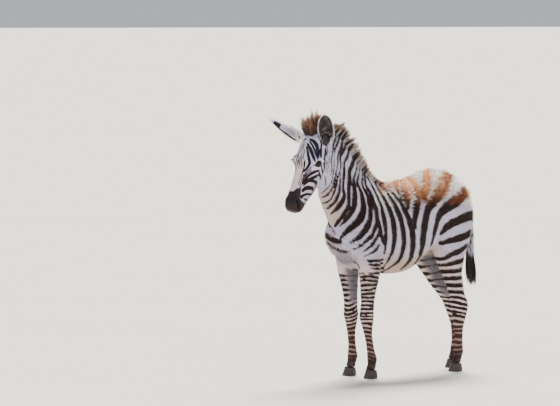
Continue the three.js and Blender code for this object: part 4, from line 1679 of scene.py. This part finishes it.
def crestRoots(form):
    # places on the crest of the neck, and how far each is to the side of its middle
    total, spread = form["strands"], form["spread"]
    lot = np.random.default_rng(form["seed"])
    y = lot.uniform(form["from"], form["to"], total)
    middle = bodySet["middle"] + np.interp(y, *np.array(hairSet["crestMiddle"]).T)
    x = middle + np.clip(lot.normal(0, spread, total), -spread * 1.7, spread * 1.7)
    spots = []
    keep = []
    for k in range(total):
        hit = skinTree.ray_cast(Vector((x[k], y[k], 1.4)), Vector((0, 0, -1)))
        if hit[0] is not None:
            spots.append(hit[0])
            keep.append(k)
    return np.array(spots), x[keep] - middle[keep]


def makeMane(name, nodes, form, material, brownEnd):
    spread, seed, bend = form["spread"], form["seed"], form["bend"]
    roots, offset = crestRoots(form)
    lot = np.random.default_rng(seed + 1)
    lean = np.interp(roots[:, 1], *np.array(hairSet["maneLean"]).T) + lot.normal(0, 4.5, len(roots))
    lean = lean + 7 * ripple(roots * [0, 1, 0], 0.018, seed)
    fan = offset / spread * 9 + lot.normal(0, 3.5, len(roots))
    upWay = np.stack([
        np.sin(np.radians(fan)),
        np.sin(np.radians(lean)) * np.cos(np.radians(fan)),
        np.cos(np.radians(lean)) * np.cos(np.radians(fan)),
    ], 1)
    level = unit(upWay * [0, 1, 1])
    inner = roots.copy()
    inner[:, 0] = bodySet["middle"] + np.interp(roots[:, 1], *np.array(hairSet["solidMiddle"]).T)
    long = reachOut(nodeTree(nodes[0]), inner, level, hairSet["farthest"])
    long = np.where(long < 0.012, hairSet["shortest"], long)
    side = 1 - 0.35 * (np.abs(offset) / (spread * 1.7)) ** 2
    long = long * side * form["reach"] * lot.uniform(1 - form["uneven"], 1, len(roots))
    long = long / (1 + 0.6 * bend) + 0.003
    long = long * (1 + 0.07 * ripple(roots * [0, 1, 0], 0.011, seed + 5))
    long = long * np.interp(roots[:, 1], *np.array(hairSet["maneReach"]).T)
    levels = 6
    path = np.empty((len(roots), levels, 3))
    here = roots - upWay * 0.003
    bendWay = np.array([0, 1.0, -0.25])
    for k in range(levels):
        t = k / (levels - 1)
        path[:, k] = here + upWay * (long * t)[:, None] + bendWay * (long * bend * t * t)[:, None]
    path = gatherLocks(path, np.full(len(path), form["pull"]), form["every"], seed)
    found = nearestMarks(roots)
    found["brown"] = brownEnd(roots)
    facing = np.stack([np.sign(offset + 1e-5), 0 * offset, 0 * offset], 1)
    facing = unit(facing + lot.normal(0, 0.5, (len(roots), 3)))
    flat = unwrapTo(roots[:, 1], offset)
    widths = hairSet["strandWidth"] * lot.uniform(0.7, 1.2, len(roots))
    taper = (1.0, 1.0, 0.85, 0.62, 0.36)
    piece = growPiece(name, path, facing, widths, taper, found, flat, material)
    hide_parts(*nodes)


maneMaterial = makeHairMaterial("maneHair", hairSet["mane"])
foreMaterial = makeHairMaterial("foreHair", hairSet["fore"])
brushMaterial = makeHairMaterial("brushHair", hairSet["brush"])


def maneBrown(roots):
    return 0.55 * ramp(roots[:, 1], -0.07, -0.01) + 0.34 * ramp(roots[:, 1], -0.22, -0.32)


def foreBrown(roots):
    return 0.06 * ramp(roots[:, 1], -0.36, -0.40) - 0.12


def brushPaths(total):
    # strands that leave the end of the dock and fill out the brush
    lot = np.random.default_rng(9)
    heightRow, *formRows = np.array(hairSet["brushForm"]).T
    turn = lot.uniform(0, 2 * math.pi, total)
    out = np.sqrt(lot.uniform(0.05, 1, total))
    start = lot.uniform(0.50, 0.66, total)
    end = np.minimum(start - 0.08, lot.uniform(0.362, 0.46, total))
    levels = 8
    path = np.empty((total, levels, 3))
    for k in range(levels):
        t = k / (levels - 1)
        z = start + (end - start) * t
        middle, deep, wide = (np.interp(z, heightRow, row) for row in formRows)
        swell = out * (0.80 + 0.20 * t)
        path[:, k, 0] = 0.009 + wide * swell * np.cos(turn)
        path[:, k, 1] = middle + deep * swell * np.sin(turn) + 0.004 * t * t
        path[:, k, 2] = z
    return path, turn


def makeBrush():
    path, turn = brushPaths(hairSet["brushStrands"])
    path = gatherLocks(path, np.full(len(path), 0.72), 34, 2)
    found = nearestMarks(path[:, 0])
    lot = np.random.default_rng(17)
    paleShare = 0.25 + 0.4 * ramp(path[:, 0, 2], 0.56, 0.66)
    found["ink"] = np.where(lot.uniform(0, 1, len(path)) < paleShare, 0.0, 1.0)
    found["brown"] = np.zeros(len(path))
    facing = np.stack([np.cos(turn), np.sin(turn), np.zeros(len(turn))], 1)
    flat = unwrapTo(path[:, 0, 2], turn)
    widths = hairSet["brushWidth"] * lot.uniform(0.6, 1.2, len(path))
    taper = (0.8, 1.0, 1.0, 0.95, 0.8, 0.6, 0.36)
    piece = growPiece("tailBrush", path, facing, widths, taper, found, flat, brushMaterial)
    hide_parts("tail_brush")


makeMane("mane", ["mane"], hairSet["maneForm"], maneMaterial, maneBrown)
makeMane("forelock", ["forelock"], hairSet["foreForm"], foreMaterial, foreBrown)
makeBrush()
print("hair: mane, forelock and tail brush")


# lashes and whiskers
lashSet = {
    "lashes": 54,  # on each upper lid
    "lashLong": 0.016,
    "whiskers": 22,  # on each side of the muzzle
    "whiskerLong": 0.017,
    "width": 0.0007,
}


def lashHairs(side, lot):
    # root, way, fall and length of each lash over one eye
    hairs = []
    centre, look, along, up = eyeFrame(side)
    for across in np.linspace(-0.88, 0.88, lashSet["lashes"]) * eyeSet["halfSlit"]:
        upper, _, arch = lidHeights(across)
        out = unit(look + along * math.tan(rad(across)) + up * math.tan(rad(upper + 3)))
        way = unit(look + along * (0.5 * math.sin(rad(across)) + lot.normal(0, 0.08)) + up * 0.10)
        long = lashSet["lashLong"] * (0.55 + 0.45 * arch) * lot.uniform(0.75, 1.1)
        hairs.append((centre + out * (eyeSet["radius"] + 0.0012), way, -up, long))
    return hairs


def whiskerHairs(sign, lot):
    # the same for the whiskers on one side of the muzzle
    hairs = []
    for _ in range(lashSet["whiskers"]):
        spot = np.array([0, lot.uniform(-0.355, -0.300), lot.uniform(-0.115, -0.075)])
        place = headRoot + headTurn @ spot
        out = headTurn @ unit(np.array([sign * 1.0, 0, lot.uniform(-0.9, 0.1)]))
        hit = skinTree.ray_cast(Vector(place), Vector(out), 0.08)[0]
        if hit is None:
            continue
        way = unit(out + headTurn @ np.array([0, -0.5, -0.2]))
        long = lashSet["whiskerLong"] * lot.uniform(0.5, 1.2)
        hairs.append((np.array(hit), way, np.array([0, 0, -1.0]), long))
    return hairs


def makeLashes():
    lot = np.random.default_rng(23)
    hairs = lashHairs("left", lot) + lashHairs("right", lot) + whiskerHairs(1, lot) + whiskerHairs(-1, lot)
    roots, ways, falls, longs = (np.array(row) for row in zip(*hairs))
    path = np.empty((len(roots), 5, 3))
    for k in range(5):
        t = k / 4
        path[:, k] = roots + (ways * t + falls * 0.35 * t * t) * longs[:, None]
    found = nearestMarks(roots)
    found["ink"] = np.ones(len(roots))
    found["brown"] = np.zeros(len(roots))
    flat = unwrapTo(roots[:, 0], roots[:, 2])
    widths = np.full(len(roots), lashSet["width"])
    growPiece("lashes", path, unit(np.cross(ways, falls)), widths, (1.0, 0.8, 0.6, 0.4), found, flat,
              brushMaterial)


makeLashes()
print("lashes and whiskers: made")


eyeLook = {
    "pupil": colour(5, 5, 8),
    "iris": colour(44, 29, 21),
    "irisRim": colour(18, 12, 11),
    "white": colour(70, 56, 50),
}


def makeEyeMaterial():
    board = Board("eyeBall")
    ring = board.field("ring")  # degrees off the middle of the pupil, stretched along it
    grain = board.noise(board.vector("spot"), 900.0, 3.0)
    iris = board.tint(board.step(ring + (grain - 0.5) * 10, 22, 44), eyeLook["iris"], eyeLook["irisRim"])
    base = board.tint(board.step(ring, 17, 21), eyeLook["pupil"], iris)
    base = board.tint(board.step(board.field("white"), 0.4, 0.6), base, eyeLook["white"])
    return board.finish({
        "Base Color": base,
        "Roughness": 0.10,
        "Coat Weight": 0.30,
        "Coat Roughness": 0.03,
        "Coat IOR": 1.3,
        "Specular IOR Level": 0.15,
    })


def makeEyes():
    material = makeEyeMaterial()
    for side in ("left", "right"):
        centre, look, along, up = eyeFrame(side)
        work = bmesh.new()
        bmesh.ops.create_icosphere(work, subdivisions=5, radius=1.0)
        mesh = bpy.data.meshes.new("eye_" + side)
        work.to_mesh(mesh)
        work.free()
        ball = readPoints(mesh)
        local = np.stack([ball @ along, ball @ up, ball @ look], 1)
        off = np.degrees(np.arccos(np.clip(local[:, 2], -1, 1)))
        cornea = 1 + 0.055 * ramp(off, 40, 8)
        ring = np.degrees(np.hypot(local[:, 0] * 0.62, local[:, 1] * 1.25)) + 90 * (local[:, 2] < 0)
        points = centre + ball * (eyeSet["radius"] * cornea)[:, None]
        setPoints(mesh, points)
        mesh.shade_smooth()
        storeField(mesh, "ring", ring)
        storeField(mesh, "white", ramp(off, 46, 52))
        storeField(mesh, "spot", points)
        mesh.materials.append(material)
        piece = newObject("eyeBall_" + side, mesh)
        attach(piece, "root")
        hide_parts("eye_" + side)


makeEyes()
print("eyes: made")


# hooves
hoofSet = {
    "rows": 26,
    "sides": 56,
    "topFront": 0.0425,  # heights of the upper edge at the toe and at the heels
    "topBack": 0.034,
    "square": 2.25,  # 2 would be an ellipse
    "bevel": 0.93,  # of the sole's edge
    "bevelHigh": 0.0012,
    "crown": 0.035,  # swelling below the hair
    "cleftDeep": 0.006,
    "cleftWide": 0.16,
    "growthRings": 9,
    "ringDeep": 0.01,  # as a share of the hoof's width
    "horn": colour(46, 40, 40),
    "hornPale": colour(84, 72, 66),
    "band": colour(30, 25, 26),
    "grit": colour(96, 86, 76),
}


def makeHoofMaterial():
    board = Board("hoofHorn")
    streak = board.noise(board.vector("grain"), 60.0, 3.0)
    grit = board.noise(board.vector("spot"), 260.0, 3.0)
    base = board.tint(board.step(streak, 0.35, 0.72), hoofSet["horn"], hoofSet["hornPale"])
    base = board.tint(board.step(board.field("up"), 0.80, 0.95), base, hoofSet["band"])
    base = board.tint(board.step(grit, 0.55, 0.8) * 0.35, base, hoofSet["grit"])
    return board.finish({
        "Base Color": base,
        "Roughness": 0.42 + grit * 0.35,
        "Specular IOR Level": 0.4,
        "Normal": board.bump(streak * 0.6 + grit * 0.4, 0.4, 0.0008),
    })


def hoofRing(low, high, number, t, turn):
    # one ring round the hoof, at a share t of its height
    deep, wide = high.y - low.y, high.x - low.x
    front = low.y + deep * (0.02 + 0.24 * t)
    back = high.y - deep * (0.02 + 0.07 * t - 0.05 * math.sin(math.pi * t))
    wave = 0.5 + 0.5 * math.cos(t * hoofSet["growthRings"] * 2 * math.pi)
    swell = (1 - hoofSet["ringDeep"] * wave) * (1 + hoofSet["crown"] * hump(t, 0.90, 0.07))
    swell = swell * (hoofSet["bevel"] if number == 0 else 1)
    cos, sin = (np.sign(w) * np.abs(w) ** (2 / hoofSet["square"]) for w in (np.cos(turn), np.sin(turn)))
    x = (low.x + high.x) / 2 + cos * wide / 2 * (0.985 - 0.22 * t ** 0.9) * swell
    y = (front + back) / 2 + sin * (back - front) / 2 * swell
    y = y - hump(turn, math.pi / 2, hoofSet["cleftWide"]) * hoofSet["cleftDeep"] * (1 - 0.5 * t)
    top = np.interp(y, [low.y, high.y], [hoofSet["topFront"], hoofSet["topBack"]])
    return np.stack([x, y, top * t + (hoofSet["bevelHigh"] if number == 1 else 0)], 1)


def makeHoof(name, material):
    low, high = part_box(name)
    sides = hoofSet["sides"]
    turn = np.linspace(0, 2 * math.pi, sides, endpoint=False)
    levels = np.concatenate([[0.0, 0.0], np.linspace(0.03, 1, hoofSet["rows"] - 2)])
    rings = [hoofRing(low, high, number, t, turn) for number, t in enumerate(levels)]
    top = rings[-1]
    inner = top.mean(0) + (top - top.mean(0)) * 0.72 + np.array([0, 0, 0.0015])
    grainAt = [ring * [6, 6, 0.4] for ring in rings] + [inner]  # the grain runs up the wall
    upShare = np.repeat(np.append(levels, 1.0), sides)
    rings.append(inner)
    points = np.concatenate(rings + [rings[0].mean(0)[None], inner.mean(0)[None]])
    faces = []
    for k in range(len(rings) - 1):
        here = k * sides + np.arange(sides)
        after = k * sides + (np.arange(sides) + 1) % sides
        faces.append(np.stack([here, after, after + sides, here + sides], 1))
    ring = np.arange(sides)
    after = (ring + 1) % sides
    soleAt = len(rings) * sides
    under = np.stack([np.full(sides, soleAt), after, ring], 1)
    last = (len(rings) - 1) * sides
    over = np.stack([np.full(sides, soleAt + 1), ring + last, after + last], 1)
    mesh = meshFrom(name + "Horn", points, [np.concatenate([under, over]), np.concatenate(faces)])
    storeField(mesh, "up", np.append(upShare, [0.0, 1.0]))
    storeField(mesh, "grain", np.concatenate(grainAt + [points[-2:]]))
    storeField(mesh, "spot", points)
    mesh.materials.append(material)
    piece = newObject(name + "Horn", mesh)
    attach(piece, "root")
    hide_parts(name)


hoofMaterial = makeHoofMaterial()
for name in ("hoof_fore_left", "hoof_fore_right", "hoof_hind_left", "hoof_hind_right"):
    makeHoof(name, hoofMaterial)
print("hooves: made")


def makeFloorMaterial():
    board = Board("paleFloor")
    place = board.add("ShaderNodeTexCoord", {}, {}, "Object")
    cloud = board.noise(place, 0.8, 2.0)
    base = board.tint(cloud, studio["floorColour"], tuple(c * 0.97 for c in studio["floorColour"]))
    return board.finish({"Base Color": base, "Roughness": 0.9, "Specular IOR Level": 0.1})


floor.data.materials.append(makeFloorMaterial())
